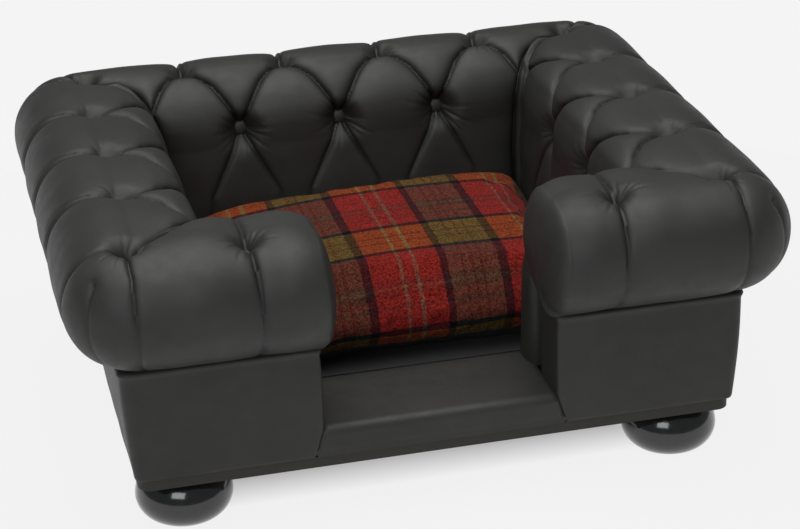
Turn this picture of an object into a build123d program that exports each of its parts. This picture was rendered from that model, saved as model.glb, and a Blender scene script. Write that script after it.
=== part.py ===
"""A chesterfield dog bed: a buttoned leather box with rolled walls and a loose tartan cushion."""

import os
from math import cos, radians, sin

from build123d import *

# Overall layout, with the floor at z = 0 and the entrance on the -Y side
ROLL_X = 312.0
ROLL_Y = 257.0
ROLL_Z = 263.7
ROLL_RADIUS = 63.0
BASE_HALF_X = 318.5
BASE_HALF_Y = 261.0
SIDE_FLARE = 7.5
GAP_HALF_X = 124.0
SEAM_SLANT = 8.5

# Heights
FOOT_HEIGHT = 57.3
BOARD_TOP = 69.3
DECK_TOP = 100.0
STEP_TOP = 102.1
PANEL_TOP = 194.0
WALL_TOP = 224.0
RAIL_TOP = 242.0

# Frame
PLY = 12.0
WALL_OUTER = -2.0
WALL_INNER = WALL_OUTER - PLY
BOARD_INSET = 3.0
BOARD_CORNER = 14.0
RAIL_OUTER = 18.0
RAIL_INNER = -30.0
BLOCK_SIDE = 26.0
BATTEN_WIDTH = 18.0
DECK_PLY = 9.0
LINING = 1.5
JAMB_BACK = -201.0
JAMB_LEATHER = 6.0
PANEL_ROUND = 5.0
JAMB_ROUND = 4.0

# Foam under the covers
FOAM_RADIUS = 38.0
FOAM_ROUND = 37.5
FOAM_SLAB = -46.0

# Shape of a buttoned wall in cross-section, measured from the roll's centre
SEAT_Y = -92.0
FAN_FOOT = -76.0
FAN_HEAD = -18.0
NECK_ANGLE = -78.0
SHOULDER_ANGLE = 15.0
CROWN_ANGLE = 60.0
BUTTON_ANGLE = 180.0
TUFT_RADIUS = 57.0
TUFT_SWELL = 0.5
CREASE_DEPTH = 6.5
FAN_DEPTH = 3.5
LOWER_BOW = 0.07

# Buttoning along the walls
BACK_TUFTS = (-177.0, -59.0, 59.0, 177.0)
ARM_TUFTS = (-106.0, 18.0, 142.0)
FRONT_TUFT = 188.0
CORNER_AXIS = 15.0
BACK_CORNER_TUFT = (286.0, 252.0)
FRONT_CORNER_TUFT = (302.0, -238.0)
FADE_LENGTH = 48.0
TOP_PIT = 42.0
LOWER_PIT_DEPTH = 12.0
PIT_RADIUS = 9.8
PIT_MOUTH = 19.0
PIT_HEIGHT = 20.0
BUTTON_RADIUS = 9.5
BUTTON_HEIGHT = 5.5
BUTTON_BROW = (7.2, 4.2)

# Roll ends and inner padding at the entrance
NOSE_LENGTH = 33.0
NOSE_RADIUS = 62.0
NOSE_FLAT = 14.0
NOSE_BROW = (15.0, 57.7)
NOSE_CHEEK = (23.8, 48.4)
NOSE_FACE = (30.7, 31.0)
PAD_BULGE = 9.5
PAD_GROOVE = 5.0
PAD_MIDDLE = 243.7
PAD_HEAD = 285.7
GROOVE_DEPTH = 8.0

# Step
STEP_BACK = -142.0
STEP_ROUND = 10.0
STEP_LEATHER = 2.5
STEP_BLOCK = 18.0

# Feet
FOOT_RADIUS = 51.0
FOOT_X = 264.3
FOOT_Y = 207.0
FOOT_BASE = 30.0
FOOT_NECK = 37.0
FOOT_NECK_HEIGHT = 4.0
FOOT_LOWER = (46.0, 10.7)
FOOT_BELLY = 25.0
FOOT_UPPER = (47.5, 40.5)
BOLT_RADIUS = 4.0
BOLT_DEPTH = 34.0
NUT_BARREL = 5.2
NUT_FLANGE = 11.0
NUT_PLATE = 1.6

# Cushion
CUSHION_HALF_X = 207.0
CUSHION_FRONT = -137.0
CUSHION_BACK = 179.0
CUSHION_BOTTOM = DECK_TOP + 0.3
CUSHION_SEAM = 117.0
CUSHION_TOP = 196.0
CUSHION_CORNER = 34.0
CUSHION_DRAW = 5.0
CUSHION_CLOTH = 3.0
CORE_BASE_INSET = 17.0
ZIP_LENGTH = 300.0
ZIP_HEIGHT = 7.0

# Heights and insets of the cushion's outline, from its base to its crown
LOWER_LEVELS = ((CUSHION_BOTTOM, 14.0), (CUSHION_BOTTOM + 7.0, 5.0), (CUSHION_SEAM, 1.0))
UPPER_LEVELS = (
    (CUSHION_SEAM, 1.0),
    (144.0, 0.0),
    (164.0, 4.0),
    (178.0, 14.0),
    (188.0, 36.0),
    (CUSHION_TOP, 96.0),
)

os.makedirs("parts", exist_ok=True)

# Heights and edges that follow from the sizes above
NECK_Y = PANEL_TOP - ROLL_Z
DECK_Y = DECK_TOP - ROLL_Z
AXIS_X = ROLL_X - CORNER_AXIS
AXIS_Y = ROLL_Y - CORNER_AXIS
WALL_FACE_X = ROLL_X + WALL_OUTER
WALL_FACE_Y = ROLL_Y + WALL_OUTER
WALL_INSIDE_X = ROLL_X + WALL_INNER
WALL_INSIDE_Y = ROLL_Y + WALL_INNER
JAMB_BOARD_X = GAP_HALF_X + JAMB_LEATHER
REACH = 100.0
CLEAR = 1.0


def save(piece, label):
    """Name one finished piece and write it out."""
    piece.part.label = label
    export_step(piece.part, f"parts/{label}.step")


def block(x_low, x_high, y_low, y_high, z_low, z_high, mode=Mode.ADD):
    """A rectangular board or block between two opposite corners."""
    centre = ((x_low + x_high) / 2, (y_low + y_high) / 2, (z_low + z_high) / 2)
    with Locations(centre):
        Box(x_high - x_low, y_high - y_low, z_high - z_low, mode=mode)


def prism(points, z_low, z_high, mode=Mode.ADD):
    """An upright prism over a polygon in plan."""
    with BuildSketch(Plane.XY.offset(z_low)) as plan:
        with BuildLine():
            Polyline(*points, close=True)
        make_face()
    extrude(plan.sketch, amount=z_high - z_low, mode=mode)


class Run:
    """One straight length of roll: where it lies, which way is outward and how full its inside is.

    width is how far the roll is drawn out inward: its outer half turns about the roll's centre and
    its inner half about a hub that lies this much further in. tuft and tuft_angle say where the
    top buttons lie, and bow how much the leather swells below them.
    """

    def __init__(self, centre, along, outward, neck, width, bulge, seat, deck, tuft, tuft_angle, bow):
        self.centre = Vector(*centre)
        self.along = Vector(*along)
        self.outward = Vector(*outward)
        self.neck = neck
        self.width = width
        self.bulge = bulge
        self.seat = seat
        self.deck = deck
        self.tuft = tuft
        self.tuft_angle = tuft_angle
        self.bow = bow

    def plane(self, distance):
        """The cross-section plane at a distance along the roll: x outward, y up, at the roll's centre."""
        origin = self.centre + self.along * distance
        return Plane(origin=origin, x_dir=self.outward, z_dir=self.along)

    def hub(self, radius, angle):
        """A point of the inner half of the cross-section."""
        across, up = polar(radius, angle)
        return (across - self.width, up)

    def tuft_plane(self, distance):
        """The bottom of a top button's pit."""
        direction = (self.outward * self.tuft + Vector(0, 0, TOP_PIT)).normalized()
        origin = self.centre + self.along * distance + self.outward * self.tuft + Vector(0, 0, TOP_PIT)
        return Plane(origin=origin, z_dir=direction)

    def button_plane(self, distance):
        """The bottom of a lower button's pit."""
        depth = self.bulge - LOWER_PIT_DEPTH
        return Plane(origin=self.centre + self.along * distance - self.outward * depth, z_dir=-self.outward)


def polar(radius, angle):
    """A point of the outer half of the roll's cross-section."""
    return (radius * cos(radians(angle)), radius * sin(radians(angle)))


def between(tufts):
    """The lower buttons, which sit midway between the top ones."""
    return [(one + other) / 2 for one, other in zip(tufts[:-1], tufts[1:])]


back_run = Run(
    (0, ROLL_Y, ROLL_Z),
    (1, 0, 0),
    (0, 1, 0),
    neck=3.0,
    width=0.0,
    bulge=67.0,
    seat=73.0,
    deck=78.0,
    tuft=-9.0,
    tuft_angle=102.0,
    bow=0.2,
)
right_run = Run(
    (ROLL_X, 0, ROLL_Z),
    (0, -1, 0),
    (1, 0, 0),
    neck=11.0,
    width=35.0,
    bulge=98.0,
    seat=103.0,
    deck=104.0,
    tuft=-18.0,
    tuft_angle=75.0,
    bow=0.22,
)
front_run = Run(
    (0, -ROLL_Y, ROLL_Z),
    (-1, 0, 0),
    (0, -1, 0),
    neck=3.0,
    width=28.0,
    bulge=92.0,
    seat=108.0,
    deck=114.0,
    tuft=-6.0,
    tuft_angle=70.0,
    bow=0.3,
)
BACK_BUTTONS = between(BACK_TUFTS)
ARM_BUTTONS = between(ARM_TUFTS)


def mid_point(one, other):
    """The middle of the low swell between the crown and a top button."""
    across, up = (one[0] + other[0]) / 2, (one[1] + other[1]) / 2
    return (across, up + TUFT_SWELL)


def roll_section(run, distance, travel, fullness, crease, fan):
    """One cross-section of a buttoned wall.

    travel runs from 0 at a top tuft to 1 at a lower button: the crease between the outer and the
    inner bulge moves with it from the top of the roll to the inside. fan is how far the second
    crease, which spreads from the lower button, has come up from the seat.
    """
    outer = TUFT_RADIUS + (ROLL_RADIUS - TUFT_RADIUS) * fullness
    crease_angle = run.tuft_angle + (BUTTON_ANGLE - run.tuft_angle) * travel
    full_radius = ROLL_RADIUS + (run.bulge - run.width - ROLL_RADIUS) * travel
    start = polar(outer, NECK_ANGLE)
    shoulder = polar(outer, SHOULDER_ANGLE)
    crown = (-run.width * (1.0 + fullness) / 4, outer)
    fold = run.hub(full_radius - crease, crease_angle)
    fan_y = FAN_FOOT + (FAN_HEAD - FAN_FOOT) * fan
    fan_depth = FAN_DEPTH * crease / CREASE_DEPTH
    fan_point = (-run.bulge - (run.seat - run.bulge) * fan_y / SEAT_Y + fan_depth, fan_y)
    seat = (-run.seat, SEAT_Y)
    middle_angle = (90.0 + crease_angle) / 2
    middle = run.hub((outer + full_radius) / 2, middle_angle) if travel > 0 else mid_point(crown, fold)
    upper_chord = (Vector(*fan_point) - Vector(*fold)).length
    upper_sagitta = upper_chord * (LOWER_BOW + (run.bow - LOWER_BOW) * (1.0 - travel) ** 2)
    lower_sagitta = (Vector(*seat) - Vector(*fan_point)).length * LOWER_BOW
    with BuildSketch(run.plane(distance)) as section:
        with BuildLine():
            Line((run.neck, NECK_Y), start)
            ThreePointArc(start, polar(outer, NECK_ANGLE / 2), shoulder)
            ThreePointArc(shoulder, polar(outer, CROWN_ANGLE), crown)
            ThreePointArc(crown, middle, fold)
            SagittaArc(fold, fan_point, -upper_sagitta)
            SagittaArc(fan_point, seat, -lower_sagitta)
            Line(seat, (-run.deck, DECK_Y))
            Line((-run.deck, DECK_Y), (WALL_INNER, DECK_Y))
            Line((WALL_INNER, DECK_Y), (WALL_INNER, NECK_Y))
            Line((WALL_INNER, NECK_Y), (run.neck, NECK_Y))
        make_face()
    return section.sketch


# Stations from a top tuft to a lower button: travel, fullness, crease depth, rise of the fan crease
BUTTONED = (
    (0.0, 0.0, CREASE_DEPTH, 0.0),
    (0.4, 0.85, CREASE_DEPTH, 0.1),
    (1.0, 1.0, CREASE_DEPTH, 1.0),
)
FADING = (
    (0.0, 0.0, CREASE_DEPTH, 0.0),
    (0.4, 0.85, CREASE_DEPTH * 0.8, 0.1),
    (1.0, 1.0, 0.0, 1.0),
)


def half_bay(run, tuft, middle, stations=BUTTONED):
    """Half a quilted bay, from a top tuft's plane to the plane of a lower button or a plain length."""
    loft([roll_section(run, tuft + (middle - tuft) * s[0], *s) for s in stations], ruled=True)


def plain_length(run, start, end):
    """A length of roll that carries no buttons."""
    face = roll_section(run, start, *FADING[-1])
    extrude(face, amount=end - start)


def pit(plane):
    """The hollow that a button is pulled into."""
    with Locations(plane):
        Cone(
            PIT_RADIUS,
            PIT_MOUTH,
            PIT_HEIGHT,
            align=(Align.CENTER, Align.CENTER, Align.MIN),
            mode=Mode.SUBTRACT,
        )


def corner_plane(tuft, x_sign):
    """The bottom of a corner tuft's pit."""
    return Plane(origin=(x_sign * tuft[0], tuft[1], ROLL_Z + TOP_PIT))


def rounded_corner(run, distance, x_sign, y_sign, arc):
    """A rolled corner, swept round an upright axis from this run to the next one."""
    with BuildSketch(run.plane(distance)) as profile:
        with BuildLine():
            top = (-CORNER_AXIS, (ROLL_RADIUS**2 - CORNER_AXIS**2) ** 0.5)
            start = polar(ROLL_RADIUS, NECK_ANGLE)
            shoulder = polar(ROLL_RADIUS, SHOULDER_ANGLE)
            Line((-CORNER_AXIS, NECK_Y), (run.neck, NECK_Y))
            Line((run.neck, NECK_Y), start)
            ThreePointArc(start, polar(ROLL_RADIUS, NECK_ANGLE / 2), shoulder)
            ThreePointArc(shoulder, polar(ROLL_RADIUS, CROWN_ANGLE), top)
            Line(top, (-CORNER_AXIS, NECK_Y))
        make_face()
    axis = Axis((x_sign * AXIS_X, y_sign * AXIS_Y, 0), (0, 0, 1))
    revolve(profile.sketch, axis=axis, revolution_arc=arc)


def region(*points):
    """Keep only what lies over a polygon in plan."""
    prism(points, 0.0, ROLL_Z + REACH, mode=Mode.INTERSECT)


def take_out(*pieces):
    """Make room for pieces that are already in place."""
    for piece in pieces:
        add(piece.part, mode=Mode.SUBTRACT)


def mirrored(piece):
    """The same piece on the other side of the bed."""
    with BuildPart() as other:
        add(mirror(piece.part, about=Plane.YZ, mode=Mode.PRIVATE))
    return other


# Base board with the holes for the feet
with BuildPart() as base_board:
    with BuildSketch(Plane.XY.offset(FOOT_HEIGHT)):
        RectangleRounded(2 * (BASE_HALF_X - BOARD_INSET), 2 * (BASE_HALF_Y - BOARD_INSET), BOARD_CORNER)
        with GridLocations(2 * FOOT_X, 2 * FOOT_Y, 2, 2):
            Circle(NUT_BARREL, mode=Mode.SUBTRACT)
    extrude(amount=BOARD_TOP - FOOT_HEIGHT)
save(base_board, "base_board")

# Plywood walls
with BuildPart() as back_wall:
    block(-WALL_FACE_X, WALL_FACE_X, WALL_INSIDE_Y, WALL_FACE_Y, BOARD_TOP, WALL_TOP)
save(back_wall, "back_wall")

with BuildPart() as right_wall:
    block(WALL_INSIDE_X, WALL_FACE_X, -WALL_INSIDE_Y, WALL_INSIDE_Y, BOARD_TOP, WALL_TOP)
save(right_wall, "right_wall")

with BuildPart() as front_right_wall:
    block(JAMB_BOARD_X, WALL_FACE_X, -WALL_FACE_Y, -WALL_INSIDE_Y, BOARD_TOP, WALL_TOP)
save(front_right_wall, "front_right_wall")

with BuildPart() as right_jamb_board:
    block(JAMB_BOARD_X, JAMB_BOARD_X + PLY, -WALL_INSIDE_Y, JAMB_BACK, BOARD_TOP, PANEL_TOP)
save(right_jamb_board, "right_jamb_board")

left_wall = mirrored(right_wall)
save(left_wall, "left_wall")
front_left_wall = mirrored(front_right_wall)
save(front_left_wall, "front_left_wall")
left_jamb_board = mirrored(right_jamb_board)
save(left_jamb_board, "left_jamb_board")

# Rails on the walls, mitred at the corners
OUT_X = ROLL_X + RAIL_OUTER
OUT_Y = ROLL_Y + RAIL_OUTER
IN_X = ROLL_X + RAIL_INNER
IN_Y = ROLL_Y + RAIL_INNER
with BuildPart() as back_rail:
    prism([(-OUT_X, OUT_Y), (OUT_X, OUT_Y), (IN_X, IN_Y), (-IN_X, IN_Y)], WALL_TOP, RAIL_TOP)
save(back_rail, "back_rail")

with BuildPart() as right_rail:
    prism([(OUT_X, -OUT_Y), (OUT_X, OUT_Y), (IN_X, IN_Y), (IN_X, -IN_Y)], WALL_TOP, RAIL_TOP)
save(right_rail, "right_rail")

with BuildPart() as front_right_rail:
    prism(
        [(JAMB_BOARD_X, -OUT_Y), (OUT_X, -OUT_Y), (IN_X, -IN_Y), (JAMB_BOARD_X, -IN_Y)],
        WALL_TOP,
        RAIL_TOP,
    )
save(front_right_rail, "front_right_rail")

left_rail = mirrored(right_rail)
save(left_rail, "left_rail")
front_left_rail = mirrored(front_right_rail)
save(front_left_rail, "front_left_rail")

# Corner blocks, deck battens, deck and lining
DECK_LOW = DECK_TOP - LINING - DECK_PLY
with BuildPart() as corner_blocks:
    with GridLocations(2 * WALL_INSIDE_X - BLOCK_SIDE, 2 * WALL_INSIDE_Y - BLOCK_SIDE, 2, 2):
        with Locations((0, 0, (BOARD_TOP + DECK_LOW) / 2)):
            Box(BLOCK_SIDE, BLOCK_SIDE, DECK_LOW - BOARD_TOP)
save(corner_blocks, "corner_blocks")

with BuildPart() as deck_battens:
    long_half = WALL_INSIDE_X - BLOCK_SIDE
    wide_half = WALL_INSIDE_Y - BLOCK_SIDE
    block(-long_half, long_half, WALL_INSIDE_Y - BATTEN_WIDTH, WALL_INSIDE_Y, BOARD_TOP, DECK_LOW)
    for side in (-1, 1):
        inner = side * (WALL_INSIDE_X - BATTEN_WIDTH)
        outer = side * WALL_INSIDE_X
        block(min(inner, outer), max(inner, outer), -wide_half, wide_half, BOARD_TOP, DECK_LOW)
    block(-long_half, long_half, STEP_BACK, STEP_BACK + BATTEN_WIDTH, BOARD_TOP, DECK_LOW)
save(deck_battens, "deck_battens")

DECK_PLAN = [
    (-WALL_INSIDE_X, WALL_INSIDE_Y),
    (WALL_INSIDE_X, WALL_INSIDE_Y),
    (WALL_INSIDE_X, -WALL_INSIDE_Y),
    (JAMB_BOARD_X + PLY, -WALL_INSIDE_Y),
    (JAMB_BOARD_X + PLY, STEP_BACK),
    (-JAMB_BOARD_X - PLY, STEP_BACK),
    (-JAMB_BOARD_X - PLY, -WALL_INSIDE_Y),
    (-WALL_INSIDE_X, -WALL_INSIDE_Y),
]
with BuildPart() as deck_board:
    prism(DECK_PLAN, DECK_LOW, DECK_LOW + DECK_PLY)
save(deck_board, "deck_board")

with BuildPart() as deck_lining:
    prism(DECK_PLAN, DECK_LOW + DECK_PLY, DECK_TOP)
save(deck_lining, "deck_lining")

frame = (
    back_wall,
    left_wall,
    right_wall,
    front_left_wall,
    front_right_wall,
    back_rail,
    left_rail,
    right_rail,
    front_left_rail,
    front_right_rail,
)

# Leather facings of the jambs
with BuildPart() as right_jamb_facing:
    block(GAP_HALF_X, JAMB_BOARD_X, -WALL_FACE_Y, JAMB_BACK, STEP_TOP, PANEL_TOP)
    inner_edge = right_jamb_facing.edges().filter_by(Axis.Z).sort_by(Axis.X)[:2].sort_by(Axis.Y)[-1]
    fillet(inner_edge, JAMB_ROUND)
save(right_jamb_facing, "right_jamb_facing")
left_jamb_facing = mirrored(right_jamb_facing)
save(left_jamb_facing, "left_jamb_facing")


def foam_roll(run, start, end):
    """A foam roll with the padding slab on the inside of its wall, before its ends are cut."""
    slab = FOAM_SLAB - run.width
    with BuildSketch(run.plane(start)) as profile:
        with Locations((-run.width / 2, 0)):
            RectangleRounded(run.width + 2 * FOAM_RADIUS, 2 * FOAM_RADIUS, FOAM_ROUND)
        with Locations(((slab + WALL_INNER) / 2, DECK_Y / 2)):
            Rectangle(WALL_INNER - slab, -DECK_Y)
    extrude(profile.sketch, amount=end - start)


# Mitres between the walls: from the axis of each rounded corner to the inner corner of the seat,
# and as far again beyond it
FAR_X = ROLL_X + REACH
FAR_Y = ROLL_Y + REACH
ARM_DEPTH = 2 * (right_run.seat - CORNER_AXIS)
BACK_MITRE = (AXIS_X - ARM_DEPTH, AXIS_Y - 2 * (back_run.seat - CORNER_AXIS))
FRONT_MITRE = (AXIS_X - ARM_DEPTH, 2 * (front_run.seat - CORNER_AXIS) - AXIS_Y)

# Foam of the back, the arms and the front returns
with BuildPart() as back_foam:
    foam_roll(back_run, -FAR_X, FAR_X)
    region(
        (-FAR_X, FAR_Y),
        (FAR_X, FAR_Y),
        (AXIS_X, AXIS_Y),
        BACK_MITRE,
        (-BACK_MITRE[0], BACK_MITRE[1]),
        (-AXIS_X, AXIS_Y),
    )
    take_out(*frame)
save(back_foam, "back_foam")

with BuildPart() as right_foam:
    foam_roll(right_run, -FAR_Y, FAR_Y)
    region((FAR_X, -FAR_Y), (FAR_X, FAR_Y), (AXIS_X, AXIS_Y), BACK_MITRE, FRONT_MITRE, (AXIS_X, -AXIS_Y))
    take_out(*frame)
save(right_foam, "right_foam")

with BuildPart() as front_right_foam:
    foam_roll(front_run, -FAR_X, -JAMB_BOARD_X)
    region((JAMB_BOARD_X, -FAR_Y), (FAR_X, -FAR_Y), (AXIS_X, -AXIS_Y), FRONT_MITRE)
    take_out(right_jamb_board, *frame)
save(front_right_foam, "front_right_foam")

left_foam = mirrored(right_foam)
save(left_foam, "left_foam")
front_left_foam = mirrored(front_right_foam)
save(front_left_foam, "front_left_foam")

# Buttoned cover of the back: three full bays, plain lengths into the corners, and both rolled
# corners
with BuildPart() as back_cover:
    for left_tuft, button, right_tuft in zip(BACK_TUFTS[:-1], BACK_BUTTONS, BACK_TUFTS[1:]):
        half_bay(back_run, left_tuft, button)
        half_bay(back_run, right_tuft, button)
    for side in (-1, 1):
        last_tuft = side * BACK_TUFTS[-1]
        half_bay(back_run, last_tuft, last_tuft + side * FADE_LENGTH, FADING)
    plain_length(back_run, BACK_TUFTS[-1] + FADE_LENGTH, ROLL_X)
    plain_length(back_run, -ROLL_X, -BACK_TUFTS[-1] - FADE_LENGTH)
    region(
        (-AXIS_X, FAR_Y),
        (AXIS_X, FAR_Y),
        (AXIS_X, AXIS_Y),
        BACK_MITRE,
        (-BACK_MITRE[0], BACK_MITRE[1]),
        (-AXIS_X, AXIS_Y),
    )
    rounded_corner(back_run, AXIS_X, 1, 1, -90.0)
    rounded_corner(back_run, -AXIS_X, -1, 1, 90.0)
    for side in (-1, 1):
        pit(corner_plane(BACK_CORNER_TUFT, side))
    for tuft in BACK_TUFTS:
        pit(back_run.tuft_plane(tuft))
    for button in BACK_BUTTONS:
        pit(back_run.button_plane(button))
    take_out(back_foam, left_foam, right_foam, *frame)
save(back_cover, "back_cover")

# Buttoned cover of the right arm, straight from corner to corner, and its mirror image on the left
with BuildPart() as right_arm_cover:
    for front_tuft, button, rear_tuft in zip(ARM_TUFTS[:-1], ARM_BUTTONS, ARM_TUFTS[1:]):
        half_bay(right_run, -front_tuft, -button)
        half_bay(right_run, -rear_tuft, -button)
    half_bay(right_run, -ARM_TUFTS[0], FADE_LENGTH - ARM_TUFTS[0], FADING)
    half_bay(right_run, -ARM_TUFTS[-1], -ARM_TUFTS[-1] - FADE_LENGTH, FADING)
    plain_length(right_run, FADE_LENGTH - ARM_TUFTS[0], ROLL_Y)
    plain_length(right_run, -ROLL_Y, -ARM_TUFTS[-1] - FADE_LENGTH)
    region((FAR_X, -AXIS_Y), (FAR_X, AXIS_Y), (AXIS_X, AXIS_Y), BACK_MITRE, FRONT_MITRE, (AXIS_X, -AXIS_Y))
    pit(corner_plane(BACK_CORNER_TUFT, 1))
    pit(corner_plane(FRONT_CORNER_TUFT, 1))
    for tuft in ARM_TUFTS:
        pit(right_run.tuft_plane(-tuft))
    for button in ARM_BUTTONS:
        pit(right_run.button_plane(-button))
    take_out(right_foam, *frame)
save(right_arm_cover, "right_arm_cover")
left_arm_cover = mirrored(right_arm_cover)
save(left_arm_cover, "left_arm_cover")

# Cover of the right front return: a tufted roll with a rounded end and a padded inside
with BuildPart() as front_right_cover:
    half_bay(front_run, -FRONT_TUFT, -FRONT_TUFT - FADE_LENGTH, FADING)
    half_bay(front_run, -FRONT_TUFT, -FRONT_TUFT + FADE_LENGTH, FADING)
    plain_length(front_run, -ROLL_X, -FRONT_TUFT - FADE_LENGTH)
    plain_length(front_run, -FRONT_TUFT + FADE_LENGTH, -GAP_HALF_X)
    region((GAP_HALF_X, -FAR_Y), (AXIS_X, -FAR_Y), (AXIS_X, -AXIS_Y), FRONT_MITRE)
    rounded_corner(front_run, -AXIS_X, 1, -1, 90.0)
    for height, front, back, bulge in (
        (STEP_TOP, JAMB_BACK + PAD_GROOVE, -ROLL_Y + front_run.seat, PAD_BULGE),
        (PAD_MIDDLE, JAMB_BACK, -ROLL_Y + front_run.bulge, PAD_BULGE),
        (PAD_HEAD, JAMB_BACK - PAD_GROOVE, -ROLL_Y + front_run.bulge - 2 * PAD_GROOVE, PAD_BULGE / 3),
    ):
        with BuildSketch(Plane.XY.offset(height)):
            with BuildLine():
                Line((GAP_HALF_X, front), (GAP_HALF_X + PAD_BULGE, front))
                Line((GAP_HALF_X + PAD_BULGE, front), (GAP_HALF_X + PAD_BULGE, back))
                Line((GAP_HALF_X + PAD_BULGE, back), (GAP_HALF_X, back))
                ThreePointArc((GAP_HALF_X, back), (GAP_HALF_X - bulge, (front + back) / 2), (GAP_HALF_X, front))
            make_face()
    loft(ruled=True)
    with BuildSketch(Plane.XZ.offset(ROLL_Y)) as nose:
        with BuildLine():
            tip_x = GAP_HALF_X - NOSE_LENGTH
            brow = (GAP_HALF_X, ROLL_Z + NOSE_RADIUS)
            cheek = (GAP_HALF_X - NOSE_CHEEK[0], ROLL_Z + NOSE_CHEEK[1])
            rim = (tip_x, ROLL_Z + NOSE_FLAT)
            ThreePointArc(brow, (GAP_HALF_X - NOSE_BROW[0], ROLL_Z + NOSE_BROW[1]), cheek)
            ThreePointArc(cheek, (GAP_HALF_X - NOSE_FACE[0], ROLL_Z + NOSE_FACE[1]), rim)
            Polyline(rim, (tip_x, ROLL_Z), (GAP_HALF_X, ROLL_Z), brow)
        make_face()
    roll_axis = Axis((0, -ROLL_Y, ROLL_Z), (1, 0, 0))
    inner_axis = Axis((0, front_run.width - ROLL_Y, ROLL_Z), (1, 0, 0))
    revolve(nose.sketch, axis=roll_axis, revolution_arc=180.0)
    revolve(nose.sketch.moved(Location((0, front_run.width, 0))), axis=inner_axis, revolution_arc=-180.0)
    extrude(nose.sketch, amount=-front_run.width)
    extrude(nose.sketch.rotate(roll_axis, 180.0), amount=front_run.width)
    block(
        GAP_HALF_X,
        GAP_HALF_X + GROOVE_DEPTH,
        JAMB_BACK - CLEAR,
        JAMB_BACK + PAD_GROOVE,
        DECK_TOP,
        PANEL_TOP,
        Mode.SUBTRACT,
    )
    pit(corner_plane(FRONT_CORNER_TUFT, 1))
    pit(front_run.tuft_plane(-FRONT_TUFT))
    block(GAP_HALF_X, JAMB_BOARD_X, -FAR_Y, JAMB_BACK, DECK_TOP, PANEL_TOP, Mode.SUBTRACT)
    take_out(front_right_foam, right_foam, right_jamb_board, *frame)
save(front_right_cover, "front_right_cover")
front_left_cover = mirrored(front_right_cover)
save(front_left_cover, "front_left_cover")

# Plain outer panels, a little fuller at the top of the sides
SIDE_OUT_LOW = BASE_HALF_X
SIDE_OUT_HIGH = BASE_HALF_X + SIDE_FLARE


def outer_panel(points, y_low, y_high):
    """An upright padded panel across the bed, drawn as its front view."""
    with BuildSketch(Plane.XZ.offset(-y_high)) as view:
        with BuildLine():
            Polyline(*points, close=True)
        make_face()
    extrude(view.sketch, amount=y_high - y_low)


with BuildPart() as back_panel:
    outer_panel(
        [
            (-SIDE_OUT_LOW, BOARD_TOP),
            (SIDE_OUT_LOW, BOARD_TOP),
            (SIDE_OUT_HIGH, PANEL_TOP),
            (-SIDE_OUT_HIGH, PANEL_TOP),
        ],
        WALL_FACE_Y,
        BASE_HALF_Y,
    )
    corner_edges = back_panel.faces().sort_by(Axis.Y)[-1].edges().filter_by(GeomType.LINE)
    fillet([e for e in corner_edges if abs(e.tangent_at(0).Z) > 0.5], PANEL_ROUND)
save(back_panel, "back_panel")

with BuildPart() as front_right_panel:
    outer_panel(
        [
            (GAP_HALF_X + SEAM_SLANT, BOARD_TOP),
            (SIDE_OUT_LOW, BOARD_TOP),
            (SIDE_OUT_HIGH, PANEL_TOP),
            (GAP_HALF_X, PANEL_TOP),
            (GAP_HALF_X, STEP_TOP),
        ],
        -BASE_HALF_Y,
        -WALL_FACE_Y,
    )
    front_edges = front_right_panel.faces().sort_by(Axis.Y)[0].edges()
    corner_edge = [e for e in front_edges if e.center().X > ROLL_X and abs(e.tangent_at(0).Z) > 0.5]
    jamb_edge = [e for e in front_edges if abs(e.center().X - GAP_HALF_X) < 0.1]
    fillet(corner_edge, PANEL_ROUND)
    fillet(jamb_edge, JAMB_ROUND)
save(front_right_panel, "front_right_panel")
front_left_panel = mirrored(front_right_panel)
save(front_left_panel, "front_left_panel")

with BuildPart() as right_panel:
    outer_panel(
        [
            (WALL_FACE_X, BOARD_TOP),
            (SIDE_OUT_LOW, BOARD_TOP),
            (SIDE_OUT_HIGH, PANEL_TOP),
            (WALL_FACE_X, PANEL_TOP),
        ],
        -WALL_FACE_Y,
        WALL_FACE_Y,
    )
save(right_panel, "right_panel")
left_panel = mirrored(right_panel)
save(left_panel, "left_panel")

# Step in the entrance: timber block, foam and a leather cover with a rounded nosing
BLOCK_TOP = BOARD_TOP + STEP_BLOCK
STEP_HALF = GAP_HALF_X - STEP_LEATHER
with BuildPart() as step_block:
    block(-STEP_HALF, STEP_HALF, -WALL_FACE_Y, STEP_BACK, BOARD_TOP, BLOCK_TOP)
save(step_block, "step_block")

with BuildPart() as step_foam:
    block(-STEP_HALF, STEP_HALF, -WALL_FACE_Y, STEP_BACK, BLOCK_TOP, STEP_TOP - STEP_LEATHER)
save(step_foam, "step_foam")

with BuildPart() as step_cover:
    seam_x = GAP_HALF_X + SEAM_SLANT
    block(-seam_x, seam_x, -BASE_HALF_Y, STEP_BACK, BOARD_TOP, STEP_TOP)
    nosing = step_cover.edges().filter_by(Axis.X).group_by(Axis.Z)[-1].sort_by(Axis.Y)[0]
    fillet(nosing, STEP_ROUND)
    for side in (-1, 1):
        inner, outer = sorted((side * GAP_HALF_X, side * seam_x))
        block(inner, outer, -WALL_FACE_Y, STEP_BACK, BOARD_TOP, STEP_TOP, Mode.SUBTRACT)
        with BuildSketch(Plane.XZ.offset(WALL_FACE_Y)):
            with BuildLine():
                Polyline(
                    (side * GAP_HALF_X, STEP_TOP),
                    (side * seam_x, BOARD_TOP),
                    (side * seam_x, STEP_TOP),
                    close=True,
                )
            make_face()
        extrude(amount=BASE_HALF_Y - WALL_FACE_Y, mode=Mode.SUBTRACT)
    take_out(step_block, step_foam)
save(step_cover, "step_cover")

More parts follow.
